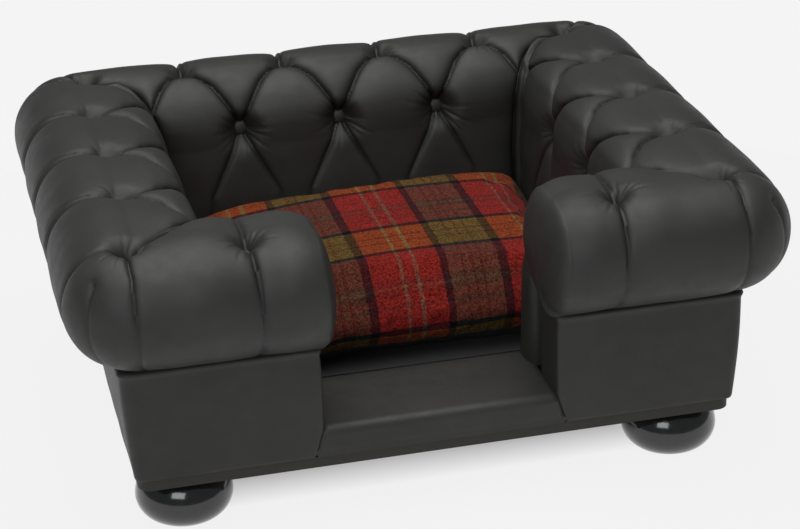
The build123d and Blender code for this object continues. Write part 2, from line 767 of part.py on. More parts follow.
# Bun feet with their bolts and tee nuts
with BuildPart() as bun:
    with BuildSketch(Plane.XZ):
        with BuildLine():
            shoulder = FOOT_HEIGHT - FOOT_NECK_HEIGHT
            Line((0, 0), (FOOT_BASE, 0))
            ThreePointArc((FOOT_BASE, 0), FOOT_LOWER, (FOOT_RADIUS, FOOT_BELLY))
            ThreePointArc((FOOT_RADIUS, FOOT_BELLY), FOOT_UPPER, (FOOT_NECK, shoulder))
            Polyline((FOOT_NECK, shoulder), (FOOT_NECK, FOOT_HEIGHT), (0, FOOT_HEIGHT), (0, 0))
        make_face()
    revolve(axis=Axis.Z)
    with Locations((0, 0, FOOT_HEIGHT - BOLT_DEPTH)):
        bolt_align = (Align.CENTER, Align.CENTER, Align.MIN)
        Cylinder(BOLT_RADIUS, BOLT_DEPTH, align=bolt_align, mode=Mode.SUBTRACT)

for name, x_sign, y_sign in (
    ("foot_front_left", -1, -1),
    ("foot_front_right", 1, -1),
    ("foot_back_left", -1, 1),
    ("foot_back_right", 1, 1),
):
    with BuildPart() as foot:
        with Locations((x_sign * FOOT_X, y_sign * FOOT_Y, 0)):
            add(bun.part)
    save(foot, name)

with BuildPart() as foot_bolts:
    with GridLocations(2 * FOOT_X, 2 * FOOT_Y, 2, 2):
        with Locations((0, 0, FOOT_HEIGHT - BOLT_DEPTH)):
            Cylinder(BOLT_RADIUS, BOLT_DEPTH + BOARD_TOP - FOOT_HEIGHT, align=bolt_align)
save(foot_bolts, "foot_bolts")

with BuildPart() as tee_nuts:
    with GridLocations(2 * FOOT_X, 2 * FOOT_Y, 2, 2):
        with Locations((0, 0, FOOT_HEIGHT)):
            Cylinder(NUT_BARREL, BOARD_TOP - FOOT_HEIGHT, align=bolt_align)
        with Locations((0, 0, BOARD_TOP)):
            Cylinder(NUT_FLANGE, NUT_PLATE, align=bolt_align)
        with Locations((0, 0, FOOT_HEIGHT)):
            Cylinder(BOLT_RADIUS, BOARD_TOP - FOOT_HEIGHT, align=bolt_align, mode=Mode.SUBTRACT)
save(tee_nuts, "tee_nuts")

# Covered button: a shallow dome with a flat back
with BuildPart() as button_form:
    with BuildSketch(Plane.XZ):
        with BuildLine():
            Polyline(
                (0, 0),
                (BUTTON_RADIUS, 0),
                BUTTON_BROW,
                (0, BUTTON_HEIGHT),
                close=True,
            )
        make_face()
    revolve(axis=Axis.Z)


def buttons_on(planes):
    """One covered button at the bottom of each pit."""
    with BuildPart() as group:
        with Locations(*planes):
            add(button_form.part)
    return group


back_planes = [back_run.tuft_plane(tuft) for tuft in BACK_TUFTS]
back_planes += [back_run.button_plane(button) for button in BACK_BUTTONS]
save(buttons_on(back_planes), "back_buttons")

right_planes = [right_run.tuft_plane(-tuft) for tuft in ARM_TUFTS]
right_planes += [right_run.button_plane(-button) for button in ARM_BUTTONS]
right_arm_buttons = buttons_on(right_planes)
save(right_arm_buttons, "right_arm_buttons")
save(mirrored(right_arm_buttons), "left_arm_buttons")

front_right_button = buttons_on([front_run.tuft_plane(-FRONT_TUFT)])
save(front_right_button, "front_right_button")
save(mirrored(front_right_button), "front_left_button")
corner_tufts = (BACK_CORNER_TUFT, FRONT_CORNER_TUFT)
save(buttons_on([corner_plane(tuft, side) for tuft in corner_tufts for side in (-1, 1)]), "corner_buttons")


def cushion_section(height, inset):
    """The cushion's outline at one height: rounded corners, with sides drawn in between them."""
    x_edge = CUSHION_HALF_X - inset
    front = CUSHION_FRONT + inset
    back = CUSHION_BACK - inset
    corner = CUSHION_CORNER * (1.0 - inset / CUSHION_HALF_X)
    cut = corner * (1.0 - cos(radians(45.0)))
    middle_y = (front + back) / 2
    with BuildSketch(Plane.XY.offset(height)) as section:
        with BuildLine():
            ThreePointArc((corner - x_edge, front), (0, front + CUSHION_DRAW), (x_edge - corner, front))
            ThreePointArc((x_edge - corner, front), (x_edge - cut, front + cut), (x_edge, front + corner))
            ThreePointArc((x_edge, front + corner), (x_edge - CUSHION_DRAW, middle_y), (x_edge, back - corner))
            ThreePointArc((x_edge, back - corner), (x_edge - cut, back - cut), (x_edge - corner, back))
            ThreePointArc((x_edge - corner, back), (0, back - CUSHION_DRAW), (corner - x_edge, back))
            ThreePointArc((corner - x_edge, back), (cut - x_edge, back - cut), (-x_edge, back - corner))
            ThreePointArc((-x_edge, back - corner), (CUSHION_DRAW - x_edge, middle_y), (-x_edge, front + corner))
            ThreePointArc((-x_edge, front + corner), (cut - x_edge, front + cut), (corner - x_edge, front))
        make_face()
    return section.sketch


with BuildPart() as cushion_core:
    core_floor = (CUSHION_BOTTOM + CUSHION_CLOTH, CORE_BASE_INSET)
    core_levels = [core_floor, *LOWER_LEVELS[1:], *UPPER_LEVELS[1:-1]]
    loft(
        [cushion_section(core_levels[0][0], core_levels[0][1])]
        + [cushion_section(z - CUSHION_CLOTH / 2, inset + CUSHION_CLOTH) for z, inset in core_levels[1:]]
        + [cushion_section(CUSHION_TOP - CUSHION_CLOTH, UPPER_LEVELS[-1][1])],
        ruled=True,
    )
save(cushion_core, "cushion_core")

with BuildPart() as cushion_base:
    loft([cushion_section(*level) for level in LOWER_LEVELS], ruled=True)
    take_out(cushion_core)
save(cushion_base, "cushion_base")

with BuildPart() as cushion_cloth:
    loft([cushion_section(*level) for level in UPPER_LEVELS], ruled=True)
    take_out(cushion_core)


def zip_band(mode):
    """The band along the back seam that the zip takes."""
    block(
        -ZIP_LENGTH / 2,
        ZIP_LENGTH / 2,
        CUSHION_BACK - CUSHION_CORNER,
        CUSHION_BACK + CLEAR,
        CUSHION_SEAM,
        CUSHION_SEAM + ZIP_HEIGHT,
        mode,
    )


with BuildPart() as cushion_cover:
    add(cushion_cloth.part)
    zip_band(Mode.SUBTRACT)
save(cushion_cover, "cushion_cover")

with BuildPart() as cushion_zip:
    add(cushion_cloth.part)
    zip_band(Mode.INTERSECT)
save(cushion_zip, "cushion_zip")
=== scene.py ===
# %% [markdown]
# This is a small chesterfield made for a dog: four rolled and buttoned leather walls on a boxed
# frame, a low entrance with a padded step, bun feet and a loose tartan cushion. The rigid frame
# comes ready made and stays fixed. What is made here is the leather, the cloth and the finishes.

# %% The frame
import math

import bpy
import numpy as np
from mathutils import Matrix, Vector


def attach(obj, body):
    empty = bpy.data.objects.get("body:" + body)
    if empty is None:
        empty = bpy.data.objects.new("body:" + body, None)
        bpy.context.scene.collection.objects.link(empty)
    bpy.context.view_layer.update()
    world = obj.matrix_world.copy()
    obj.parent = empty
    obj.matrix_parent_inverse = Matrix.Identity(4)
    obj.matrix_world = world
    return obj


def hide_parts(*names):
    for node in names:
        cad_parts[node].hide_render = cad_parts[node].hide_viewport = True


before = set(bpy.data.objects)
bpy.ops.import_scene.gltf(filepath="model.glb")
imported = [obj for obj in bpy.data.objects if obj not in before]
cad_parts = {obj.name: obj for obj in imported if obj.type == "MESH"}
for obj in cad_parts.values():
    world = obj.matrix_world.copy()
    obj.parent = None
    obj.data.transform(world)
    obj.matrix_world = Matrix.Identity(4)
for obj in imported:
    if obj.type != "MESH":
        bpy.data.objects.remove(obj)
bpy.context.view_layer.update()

# %% [markdown]
# The camera stands where the photographer stood: a little to the left of the bed, above the height
# of the rolls and about 2.4 metres away, with a lens of short telephoto length. Its three axes are
# written out from a heading, a tilt and a slight roll, because that is how the place was found.

# %% The camera
CAMERA_PLACE = Vector((-0.5053, -2.3066, 1.2165))
CAMERA_HEADING, CAMERA_TILT, CAMERA_ROLL = (math.radians(a) for a in (12.83, 24.20, -1.92))
CAMERA_LENS = 104.4

ahead = Vector(
    (
        math.sin(CAMERA_HEADING) * math.cos(CAMERA_TILT),
        math.cos(CAMERA_HEADING) * math.cos(CAMERA_TILT),
        -math.sin(CAMERA_TILT),
    )
)
level = Vector((math.cos(CAMERA_HEADING), -math.sin(CAMERA_HEADING), 0.0))
above = level.cross(ahead)
right = level * math.cos(CAMERA_ROLL) + above * math.sin(CAMERA_ROLL)
up = above * math.cos(CAMERA_ROLL) - level * math.sin(CAMERA_ROLL)
camera_data = bpy.data.cameras.new("camera")
camera_data.lens = CAMERA_LENS
camera_data.sensor_width = 36.0
camera = bpy.data.objects.new("camera", camera_data)
camera.rotation_euler = Matrix((right, up, -ahead)).transposed().to_euler()
camera.location = CAMERA_PLACE
scene = bpy.context.scene
scene.collection.objects.link(camera)
scene.camera = camera
scene.view_settings.view_transform = "Standard"
print("camera looks along", ahead)

# %% [markdown]
# A finish in Blender is a small graph of nodes: textures feed ramps, and the ramps feed the sockets
# of one surface shader. Wired up link by link such a graph is long to read. These helpers take the
# name of a socket with either a plain value or the output of another node, so that each finish
# below reads as a short list of what it is made of.

# %% Helpers for nodes


def plug(tree, node, sockets):
    """Give each named socket of a node a value, or join another node's output to it."""
    for key, value in sockets.items():
        if isinstance(value, bpy.types.NodeSocket):
            tree.links.new(value, node.inputs[key])
        else:
            node.inputs[key].default_value = value


def add_node(tree, kind, sockets=None, **settings):
    """One shader node with its settings and its sockets."""
    node = tree.nodes.new(kind)
    for key, value in settings.items():
        setattr(node, key, value)
    plug(tree, node, sockets or {})
    return node


def new_material(name):
    """A node material with its tree, its surface shader and the object's own coordinates."""
    material = bpy.data.materials.new(name)
    material.use_nodes = True
    tree = material.node_tree
    tree.nodes.clear()
    output = add_node(tree, "ShaderNodeOutputMaterial")
    surface = add_node(tree, "ShaderNodeBsdfPrincipled")
    place = add_node(tree, "ShaderNodeTexCoord")
    plug(tree, output, {"Surface": surface.outputs[0]})
    return material, tree, surface, place.outputs["Object"]


print("frame materials before dressing:", len(bpy.data.materials))

# %% [markdown]
# The same few kinds of node come back in every finish: noise for unevenness, a ramp that turns a
# height into a colour, a range that turns it into a roughness, arithmetic, and bump for relief too
# fine to model. Two reliefs can lie on each other, as the grain of a hide lies on its creases.

# %% Helpers for textures


def noise(tree, place, scale, detail, roughness=0.5):
    """The height of a noise texture over these coordinates."""
    sockets = {"Vector": place, "Scale": scale, "Detail": detail, "Roughness": roughness}
    return add_node(tree, "ShaderNodeTexNoise", sockets).outputs["Fac"]


def ramp(tree, stops, source, interpolation="LINEAR"):
    """A colour ramp through (position, colour) stops."""
    node = add_node(tree, "ShaderNodeValToRGB", {0: source})
    node.color_ramp.interpolation = interpolation
    elements = node.color_ramp.elements
    while len(elements) < len(stops):
        elements.new(0.5)
    for element, (position, colour) in zip(elements, stops):
        element.position = position
        element.color = (*colour, 1.0)
    return node.outputs["Color"]


def spread(tree, source, low, high, start=0.3, end=0.7):
    """A value that runs from low to high while the source runs from start to end."""
    sockets = {0: source, "From Min": start, "From Max": end, "To Min": low, "To Max": high}
    return add_node(tree, "ShaderNodeMapRange", sockets).outputs[0]


def math_step(tree, operation, *values):
    """One step of arithmetic on outputs or numbers."""
    node = add_node(tree, "ShaderNodeMath", dict(enumerate(values)), operation=operation)
    return node.outputs[0]


def mixed(tree, factor, first, second, blend_type="MIX"):
    """Two colours mixed by a factor."""
    sockets = {"Factor": factor, "A": first, "B": second}
    node = add_node(tree, "ShaderNodeMix", sockets, data_type="RGBA", blend_type=blend_type)
    return node.outputs["Result"]


def bump(tree, surface, height, distance, strength, below=None):
    """Relief from a height texture, laid over another relief where one is given."""
    sockets = {"Strength": strength, "Distance": distance, "Height": height}
    if below is not None:
        sockets["Normal"] = below
    relief = add_node(tree, "ShaderNodeBump", sockets).outputs[0]
    plug(tree, surface, {"Normal": relief})
    return relief


print("texture helpers are ready")

# %% [markdown]
# The cover is a soft black hide with a matte finish. A flat dark grey would look like rubber, so
# its colour is a very dark warm grey that drifts from place to place, its gloss is uneven, and its
# grain is a fine net of cells about a millimetre across over shallow creases. Shade is painted into
# the colour at the bottom of each fold and pit, nearly black, because no light gets in there. The
# mesh carries how much painted shade each point gets as an attribute, so it is the same under any
# light and from any side.

# %% Leather
PAINTED_SHADE_ATTRIBUTE = "painted_shade"
# Painted shade: the near-black colour that the bottom of folds and pits is mixed towards.
PAINTED_SHADE_COLOUR = (0.0022, 0.0022, 0.0022, 1.0)
GRAIN_CELLS = 900.0


def leather_material(name, dark, light, roughness=(0.47, 0.60)):
    """Matte leather with drifting tone, painted shade in folds and pits, uneven gloss, fine grain
    and creases.
    """
    material, tree, surface, place = new_material(name)
    drift = noise(tree, place, 9.0, 4.0, 0.6)
    gloss = noise(tree, place, 60.0, 5.0, 0.65)
    net = {"Vector": place, "Scale": GRAIN_CELLS, "Randomness": 1.0}
    cells = add_node(tree, "ShaderNodeTexVoronoi", net, feature="DISTANCE_TO_EDGE")
    hide = noise(tree, place, 240.0, 6.0, 0.7)
    tone = ramp(tree, [(0.3, dark), (0.7, light)], drift)
    # Painted shade: the mesh attribute says how far each point is darkened towards the fold colour.
    painted_shade_node = add_node(tree, "ShaderNodeAttribute", attribute_name=PAINTED_SHADE_ATTRIBUTE)
    finish = {
        "Base Color": mixed(tree, painted_shade_node.outputs["Fac"], tone, PAINTED_SHADE_COLOUR),
        "Roughness": spread(tree, gloss, *roughness),
        "Specular IOR Level": 0.42,
    }
    plug(tree, surface, finish)
    grain = bump(tree, surface, cells.outputs["Distance"], 0.00025, 0.35)
    bump(tree, surface, hide, 0.0006, 0.25, grain)
    return material


LEATHER = leather_material("black_leather", (0.0175, 0.0176, 0.0164), (0.0255, 0.0252, 0.0232))
print("leather grain cells are about", round(1000 / GRAIN_CELLS, 2), "mm")

# %% [markdown]
# The feet are turned wood under thick gloss black lacquer. A clear coat over a dark base gives the
# small sharp highlight, and a slow ripple in the coat keeps the reflection from looking like glass.

# %% Lacquer
LACQUER, tree, surface, place = new_material("gloss_black_lacquer")
sag = noise(tree, place, 35.0, 2.0)
dust = noise(tree, place, 420.0, 4.0)
tone = ramp(tree, [(0.35, (0.006, 0.006, 0.0065)), (0.75, (0.011, 0.0105, 0.010))], dust)
gloss = spread(tree, dust, 0.12, 0.2)
coat = {"Base Color": tone, "Roughness": gloss, "Coat Weight": 0.6, "Coat Roughness": 0.06}
plug(tree, surface, coat)
bump(tree, surface, sag, 0.0012, 0.25)
print("lacquer nodes:", len(tree.nodes))

# %% [markdown]
# Under the leather are painted board, birch plywood, softwood, plated steel and black linings. They
# are seen as edges at most, so one recipe does for all: a noise that is drawn out along one axis
# gives the streaks of wood, and the same noise drawn out evenly gives the mottle of cloth.

# %% Board, timber, steel and linings
EVENLY = (90.0, 90.0, 90.0)
CLOTH_EVENLY = (70.0, 70.0, 70.0)


def grained_material(
    name, dark, light, roughness, stretch=(6.0, 60.0, 60.0), relief=0.0004, metallic=0.0
):
    """Wood, board, metal or cloth, with its streaks drawn out by a stretch along each axis."""
    material, tree, surface, place = new_material(name)
    drawn = add_node(tree, "ShaderNodeMapping", {"Vector": place, "Scale": stretch}).outputs[0]
    streaks = noise(tree, drawn, 8.0, 6.0, 0.65)
    tone = ramp(tree, [(0.3, dark), (0.7, light)], streaks)
    plug(tree, surface, {"Base Color": tone, "Roughness": roughness, "Metallic": metallic})
    bump(tree, surface, streaks, relief, 0.4)
    return material


BOARD_PAINT = grained_material("painted_board", (0.010, 0.009, 0.006), (0.022, 0.019, 0.013), 0.6)
PLYWOOD = grained_material("birch_plywood", (0.42, 0.30, 0.17), (0.58, 0.44, 0.27), 0.6)
SOFTWOOD = grained_material("planed_softwood", (0.45, 0.29, 0.14), (0.62, 0.45, 0.25), 0.65)
STEEL = grained_material(
    "zinc_plated_steel", (0.45, 0.45, 0.44), (0.6, 0.6, 0.58), 0.35, relief=0.0001, metallic=1.0
)
LINING = grained_material("black_lining", (0.008, 0.008, 0.009), (0.02, 0.02, 0.022), 0.9, EVENLY)
BLACK_CLOTH = grained_material(
    "black_cloth", (0.006, 0.006, 0.007), (0.016, 0.016, 0.018), 0.92, CLOTH_EVENLY
)
print("materials so far:", len(bpy.data.materials))

# %% [markdown]
# Pleated leather could be sculpted by hand or draped by a simulation. Here it is worked out, as a
# grid of points in millimetres that is then handed to Blender as a mesh, because formulas put every
# fold exactly where a button pulls it. Points that lie on top of each other where two grids meet
# are merged into one, so that the shading runs on across the join.

# %% Helpers for meshes
MM = 0.001
MERGE = 0.02


def grid_triangles(rows, columns, on_seam=None, flip=False):
    """Two triangles for each cell of a grid, cut along the diagonal that lies on a seam."""
    index = np.arange(rows * columns).reshape(rows, columns)
    a, b, c, d = index[:-1, :-1], index[:-1, 1:], index[1:, 1:], index[1:, :-1]
    along = np.ones(a.shape, bool)
    if on_seam is not None:
        along = ~(on_seam[:-1, 1:] & on_seam[1:, :-1]) | (on_seam[:-1, :-1] & on_seam[1:, 1:])
    first = np.where(along[..., None], np.stack([a, b, c], -1), np.stack([a, b, d], -1))
    second = np.where(along[..., None], np.stack([a, c, d], -1), np.stack([b, c, d], -1))
    faces = np.concatenate([first.reshape(-1, 3), second.reshape(-1, 3)])
    return faces[:, ::-1] if flip else faces


def mesh_piece(name, patches, material):
    """One object from several patches of (points in mm, triangles), merged where they meet.

    A fourth number of a point, where there is one, says how much painted shade it gets in a fold or
    pit, from 0 to 1.
    """
    points = np.concatenate([p.reshape(-1, p.shape[-1]) for p, _ in patches])
    starts = np.cumsum([0] + [p.size // p.shape[-1] for p, _ in patches[:-1]])
    faces = np.concatenate([f + s for (_, f), s in zip(patches, starts)])
    cells = np.round(points[:, :3] / MERGE).astype(np.int64)
    _, first, where = np.unique(cells, axis=0, return_index=True, return_inverse=True)
    faces, points = where.reshape(-1)[faces], points[first]
    whole = (faces != np.roll(faces, 1, axis=1)).all(1)
    mesh = bpy.data.meshes.new(name)
    mesh.from_pydata((points[:, :3] * MM).tolist(), [], faces[whole].tolist())
    # The fourth number is painted shade: how dark a point is coloured in a fold or pit.
    if points.shape[1] > 3:
        painted_shade = mesh.attributes.new(PAINTED_SHADE_ATTRIBUTE, "FLOAT", "POINT")
        painted_shade.data.foreach_set("value", points[:, 3].astype(np.float32))
    mesh.shade_smooth()
    mesh.materials.append(material)
    piece = bpy.data.objects.new(name, mesh)
    scene.collection.objects.link(piece)
    return piece


print("a grid of 3 by 3 points has", len(grid_triangles(3, 3)), "triangles")

# %% [markdown]
# A piece has to say more than its shape: which body it moves with and which of the frame's plain
# solids it takes the place of. Its material comes with its mesh. Nearly everything here is leather
# that stays on the bed, so one helper says the rest for all of those pieces.

# %% Fixing leather to the bed


def leather_on_bed(piece, *nodes, fill=None):
    """Fix a leather piece to the bed in place of these solids. fill is not used."""
    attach(piece, "bed")
    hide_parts(*nodes)
    print(piece.name, len(piece.data.vertices), "points")


# %% [markdown]
# All four walls share one kind of cross-section: up from the tuck at the neck, over the roll, down
# the inside to the seat and on to the deck. Inside the roll it is a smooth curve through a few
# knots. Their heights are the same on every wall, and only how far inward they lie differs, so two
# walls that meet in a corner cross in one clean line. A station number says how far along the
# section a point is: 1 where the roll starts, 2 on the line of the corners' axes, 3 at the lower
# buttons, 4 at the seat and 5 at the deck.

# %% Sizes of the walls and a smooth curve
ROLL_X, ROLL_Y, ROLL_Z, ROLL_RADIUS = 312.0, 257.0, 263.7, 63.0
CORNER_AXIS = 15.0
AXIS_X, AXIS_Y = ROLL_X - CORNER_AXIS, ROLL_Y - CORNER_AXIS
PANEL_TOP, DECK_TOP = 194.0, 100.0
NECK_ANGLE, AXIS_ANGLE = -78.0, 103.8
ROLL_EDGE, BUTTON = 2.0, 3.0
KNOT_HEIGHTS = (
    61.2, 60.0, 56.0, 50.0, 40.0, 28.0, 14.0,
    -5.0, -34.0, -63.0, -92.0, -128.0, DECK_TOP - ROLL_Z,
)
KNOT_STATIONS = np.concatenate([np.linspace(2, 3, 8), [3.33, 3.67, 4.0, 4.5, 5.0]])
ARC_STEPS, KNOT_STEPS = 90, 24


def polar(radius, degrees):
    """Outward and upward distance of a point of the section."""
    return radius * math.cos(math.radians(degrees)), radius * math.sin(math.radians(degrees))


def smooth_line(knots, steps=KNOT_STEPS):
    """A Catmull-Rom curve through the knots, as points."""
    k = np.array(knots)
    k = np.array([2 * k[0] - k[1], *k, 2 * k[-1] - k[-2]])
    t = np.linspace(0, 1, steps, endpoint=False)[:, None]
    pieces = []
    for a, b, c, d in zip(k[:-3], k[1:-2], k[2:-1], k[3:]):
        bend = (2 * a - 5 * b + 4 * c - d) * t**2 + (3 * b - a - 3 * c + d) * t**3
        pieces.append(0.5 * (2 * b + (c - a) * t + bend))
    return np.concatenate([*pieces, k[-2:-1]])


print("rolls are", 2 * ROLL_RADIUS, "mm thick")

# %% [markdown]
# A section is kept as a table of points, and any station number is looked up in it. That way a
# wall, a pleat and a button can all name the same place on the leather without solving a curve.

# %% The cross-sections


class Section:
    """The cross-section as a table over the station number, with the outward normal."""

    def __init__(self, neck, inward):
        arc = [polar(ROLL_RADIUS, a) for a in np.linspace(NECK_ANGLE, AXIS_ANGLE, ARC_STEPS)]
        knots = [(-i, h) for i, h in zip(inward, KNOT_HEIGHTS)]
        lead = 1 + max(1, round(math.dist(*knots[:2]) / math.dist(*arc[:2])))
        inside = smooth_line([arc[-lead], *knots])[KNOT_STEPS + 1 :]
        self.place = np.array([(neck, PANEL_TOP - ROLL_Z), *arc, *inside])
        steps = np.arange(1, len(inside) + 1) / KNOT_STEPS
        beyond = np.interp(steps, np.arange(len(knots)), KNOT_STATIONS)
        self.station = np.concatenate([[0.0], np.linspace(1, 2, ARC_STEPS), beyond])
        walked = np.concatenate([[0.0], np.cumsum(np.hypot(*np.diff(self.place, axis=0).T))])
        self.length = np.diff(np.interp(np.arange(6), self.station, walked))
        tangent = np.gradient(self.place, axis=0)
        tangent /= np.linalg.norm(tangent, axis=1)[:, None]
        self.normal = np.stack([tangent[:, 1], -tangent[:, 0]], -1)
        self.normal[:2] = self.normal[2]

    def at(self, station):
        """Outward, up, and the two parts of the normal at these stations."""
        return [np.interp(station, self.station, t) for t in (*self.place.T, *self.normal.T)]

    def rows(self, spacing):
        """Station numbers from neck to deck, about this far apart in mm on each run."""
        found = [np.array([0.0])]
        for start, (length, gap) in enumerate(zip(self.length, spacing)):
            count = max(2, int(round(length / gap)))
            found.append(start + np.arange(1, count + 1) / count)
        return np.concatenate(found)


BACK = Section(3.0, (15, 19.2, 29, 38.5, 49.5, 58, 64, 67, 69, 71, 73, 75.5, 78))
ARM = Section(11.0, (15, 50, 66, 77, 87, 92, 96, 99, 101, 103, 103, 103.5, 104))
FRONT = Section(3.0, (15, 44, 60, 70, 80, 86, 90, 92, 98, 104, 108, 111, 114))
print("leather from neck to deck:", [round(sum(s.length)) for s in (BACK, ARM, FRONT)], "mm")

# %% [markdown]
# A wall is that section carried along a straight line, and a corner is it turned about an upright
# axis that stands at the corner tuft. Both need only two numbers for a point, so each has a small
# class that turns (distance or angle, station) into a place and the direction away from the wall.
# Inside a corner two walls cross, and each stops at the mitre line where they meet.

# %% Walls as surfaces
MITRE_TUCK, TUCK_FADE = 9.0, 12.0


class Wall:
    """A straight wall. side is +1 or -1 and tells right from left, or back from front."""

    def __init__(self, section, runs_along_x, side, tuft):
        self.section, self.along_x, self.side, self.tuft = section, runs_along_x, side, tuft
        self.full = AXIS_X if runs_along_x else AXIS_Y
        self.neighbours = (ARM, ARM) if runs_along_x else (FRONT, BACK)

    def place(self, distance, station):
        """Points and normals at distances along the wall."""
        out, height, n_out, n_up = self.section.at(station)
        roll = self.side * ((ROLL_Y if self.along_x else ROLL_X) + out)
        n_out, zero = self.side * n_out, np.zeros_like(distance)
        if self.along_x:
            p, n = (distance, roll, ROLL_Z + height), (zero, n_out, n_up)
        else:
            p, n = (roll, distance, ROLL_Z + height), (n_out, zero, n_up)
        return np.stack(p, -1), np.stack(n, -1)

    def mitre(self, station, end):
        """Where the wall meets its neighbour at a station, at its low (-1) or high (1) end."""
        out = self.neighbours[end > 0].at(station)[0]
        return end * (self.full - np.clip(-CORNER_AXIS - out, 0, None))

    def limits(self, station):
        """Both ends of the leather at a station: the mitre and a tuck under the neighbour."""
        ends = []
        for end in (-1, 1):
            met = self.mitre(station, end)
            tuck = MITRE_TUCK * np.clip((self.full - abs(met)) / TUCK_FADE, 0, 1)
            ends.append(met + end * tuck)
        return ends


BACK_WALL = Wall(BACK, True, 1, tuft=1.969)
FRONT_WALL = Wall(FRONT, True, -1, tuft=1.885)
LEFT_WALL, RIGHT_WALL = (Wall(ARM, False, side, tuft=2.012) for side in (-1, 1))
ARM_WALLS = (LEFT_WALL, RIGHT_WALL)
print("a wall's mitre at the seat:", round(float(BACK_WALL.mitre(4.0, 1))), "mm from the middle")

# %% [markdown]
# A corner blends one wall's section into the next one's while it turns through a quarter circle.
# The share follows a smooth step, so that no line shows in the gloss where the turn begins and
# ends.

# %% Corners as surfaces


class Corner:
    """A quarter turn of the outer roll from one wall's section to the next one's."""

    def __init__(self, first, second, x_sign, y_sign):
        self.first, self.second, self.x_sign, self.y_sign = first, second, x_sign, y_sign

    def place(self, degrees, station):
        """Points and normals at angles. 0 faces the back or the front and 90 faces the side."""
        share = np.clip(degrees / 90.0, 0, 1)
        share = share * share * (3 - 2 * share)
        one, two = self.first.at(station), self.second.at(station)
        out, height, n_out, n_up = ((1 - share) * a + share * b for a, b in zip(one, two))
        turn = np.radians(degrees)
        across = [self.x_sign * np.sin(turn), self.y_sign * np.cos(turn), np.zeros_like(turn)]
        across = np.stack(across, -1)
        reach = (out + CORNER_AXIS)[..., None]
        p = across * reach + np.array([self.x_sign * AXIS_X, self.y_sign * AXIS_Y, ROLL_Z])
        p[..., 2] += height
        n = across * n_out[..., None]
        n[..., 2] += n_up
        return p, n


CORNERS = {
    (x, y): Corner(BACK if y > 0 else FRONT, ARM, x, y) for x in (-1, 1) for y in (-1, 1)
}
print(len(CORNERS), "corners")

# %% [markdown]
# Buttons are pulled into the wall, and between them the leather is folded into pleats. A pleat is
# written as a line on a wall from one button to the next, with how broad a valley it lies in and
# how deep its sharp fold is. The lines are what the whole look depends on, so they are listed
# first, and the puffed leather between them follows.

# %% Where the buttons are, and what a pleat is
BACK_TUFTS = (-177.0, -59.0, 59.0, 177.0)
BACK_BUTTONS = (-118.0, 0.0, 118.0)
ARM_TUFTS = (-106.0, 18.0, 142.0)
ARM_BUTTONS = (-44.0, 80.0)
FRONT_TUFTS = (-192.0, 184.0)
BACK_CORNER_TUFT = (286.0, 1.949)
FRONT_CORNER_TUFTS = {-1: (-250.0, 1.95), 1: (-246.0, 2.0)}
CORNER_STATION = 2.72
VALLEY, FOLD = 10.0, 6.4
LINE_STEPS = 9


def pleat(surface, points, valley, fold, bow=0.0):
    """A pleat through (distance, station) points on a surface, with both depths at each point."""
    points, valley, fold = np.array(points, float), np.array(valley, float), np.array(fold, float)
    t = np.linspace(0, len(points) - 1, LINE_STEPS * (len(points) - 1) + 1)
    distance, station, valley, fold = (
        np.interp(t, np.arange(len(points)), values) for values in (*points.T, valley, fold)
    )
    station = station - bow * np.sin(np.pi * t / t[-1])
    return {
        "surface": surface,
        "line": np.stack([distance, station], -1),
        "valley": valley,
        "fold": fold,
    }


print("buttons on the back:", len(BACK_TUFTS), "above and", len(BACK_BUTTONS), "below")

# %% [markdown]
# Seen from the front, the pleats of a chesterfield make diamonds between the two rows of buttons,
# fans below the lower row, and lines that run outward over the roll from the upper row. Each kind
# is a rule rather than a drawn line, so the back and the arms get theirs from the same function.

# %% Diamonds, fans and the pleats over the roll


def diamond_pleats(wall, tufts, buttons):
    """From every top tuft to the lower buttons beside it, and from the last ones to the corners."""
    found = []
    ends = [(wall.mitre(CORNER_STATION, end), CORNER_STATION) for end in (-1, 1)]
    lower = [ends[0], *[(button, BUTTON) for button in buttons], ends[1]]
    for tuft, before, after in zip(tufts, lower[:-1], lower[1:]):
        for end in (before, after):
            line = [(tuft, wall.tuft), end]
            found.append(pleat(wall, line, (VALLEY, VALLEY), (FOLD, FOLD), bow=0.07))
    return found


def fan_pleats(wall, buttons, spread_out):
    """Two pleats that open from every lower button down to the seat and fade below it."""
    valley, fold = (VALLEY * 0.7, 2.6, 0.3), (FOLD, 2.6, 0.5)
    found = []
    for button in buttons:
        for left in (-1, 1):
            foot, low = button + left * spread_out, button + left * spread_out * 1.25
            line = [(button, BUTTON), (foot, 3.9), (low, 4.8)]
            found.append(pleat(wall, line, valley, fold))
    return found


def outer_pleats(wall, tufts, lean=0.0, second=None):
    """From every top tuft outward over the roll to the neck, and a shorter second one beside it."""
    found = []
    for tuft in tufts:
        start = (tuft, wall.tuft)
        line = [start, (tuft + lean * 0.3, 1.72), (tuft + lean * 0.7, 1.4), (tuft + lean, 0.3)]
        found.append(pleat(wall, line, (VALLEY, 5.5, 2.6, 1.4), (FOLD, FOLD, 3.6, 3.0)))
        if second is not None:
            line = [start, (tuft + second * 0.7, 1.75), (tuft + second, 1.45)]
            found.append(pleat(wall, line, (VALLEY * 0.7, 2.5, 0.3), (FOLD, 2.0, 0.2)))
    return found


def mitre_pleat(wall, end, start):
    """The deep fold where two walls meet inside a corner, from the corner tuft to the seat."""
    stations = np.array([2.1, 2.2, 2.35, 2.5, 2.7, 3.0, 3.3, 3.7, 4.2, 4.7])
    line = [start, *zip(wall.mitre(stations, end), stations)]
    return pleat(wall, line, [VALLEY] * len(line), [FOLD] * len(line))


print("a valley is", VALLEY, "mm deep and its fold another", FOLD, "mm")

# %% [markdown]
# The back has seven buttons and each arm has five, with all three kinds of pleat. A front return is
# so short that it has one button, with a pleat over the roll and a faint one inside. Where walls
# meet inside a corner the leather is folded too, along the mitre.

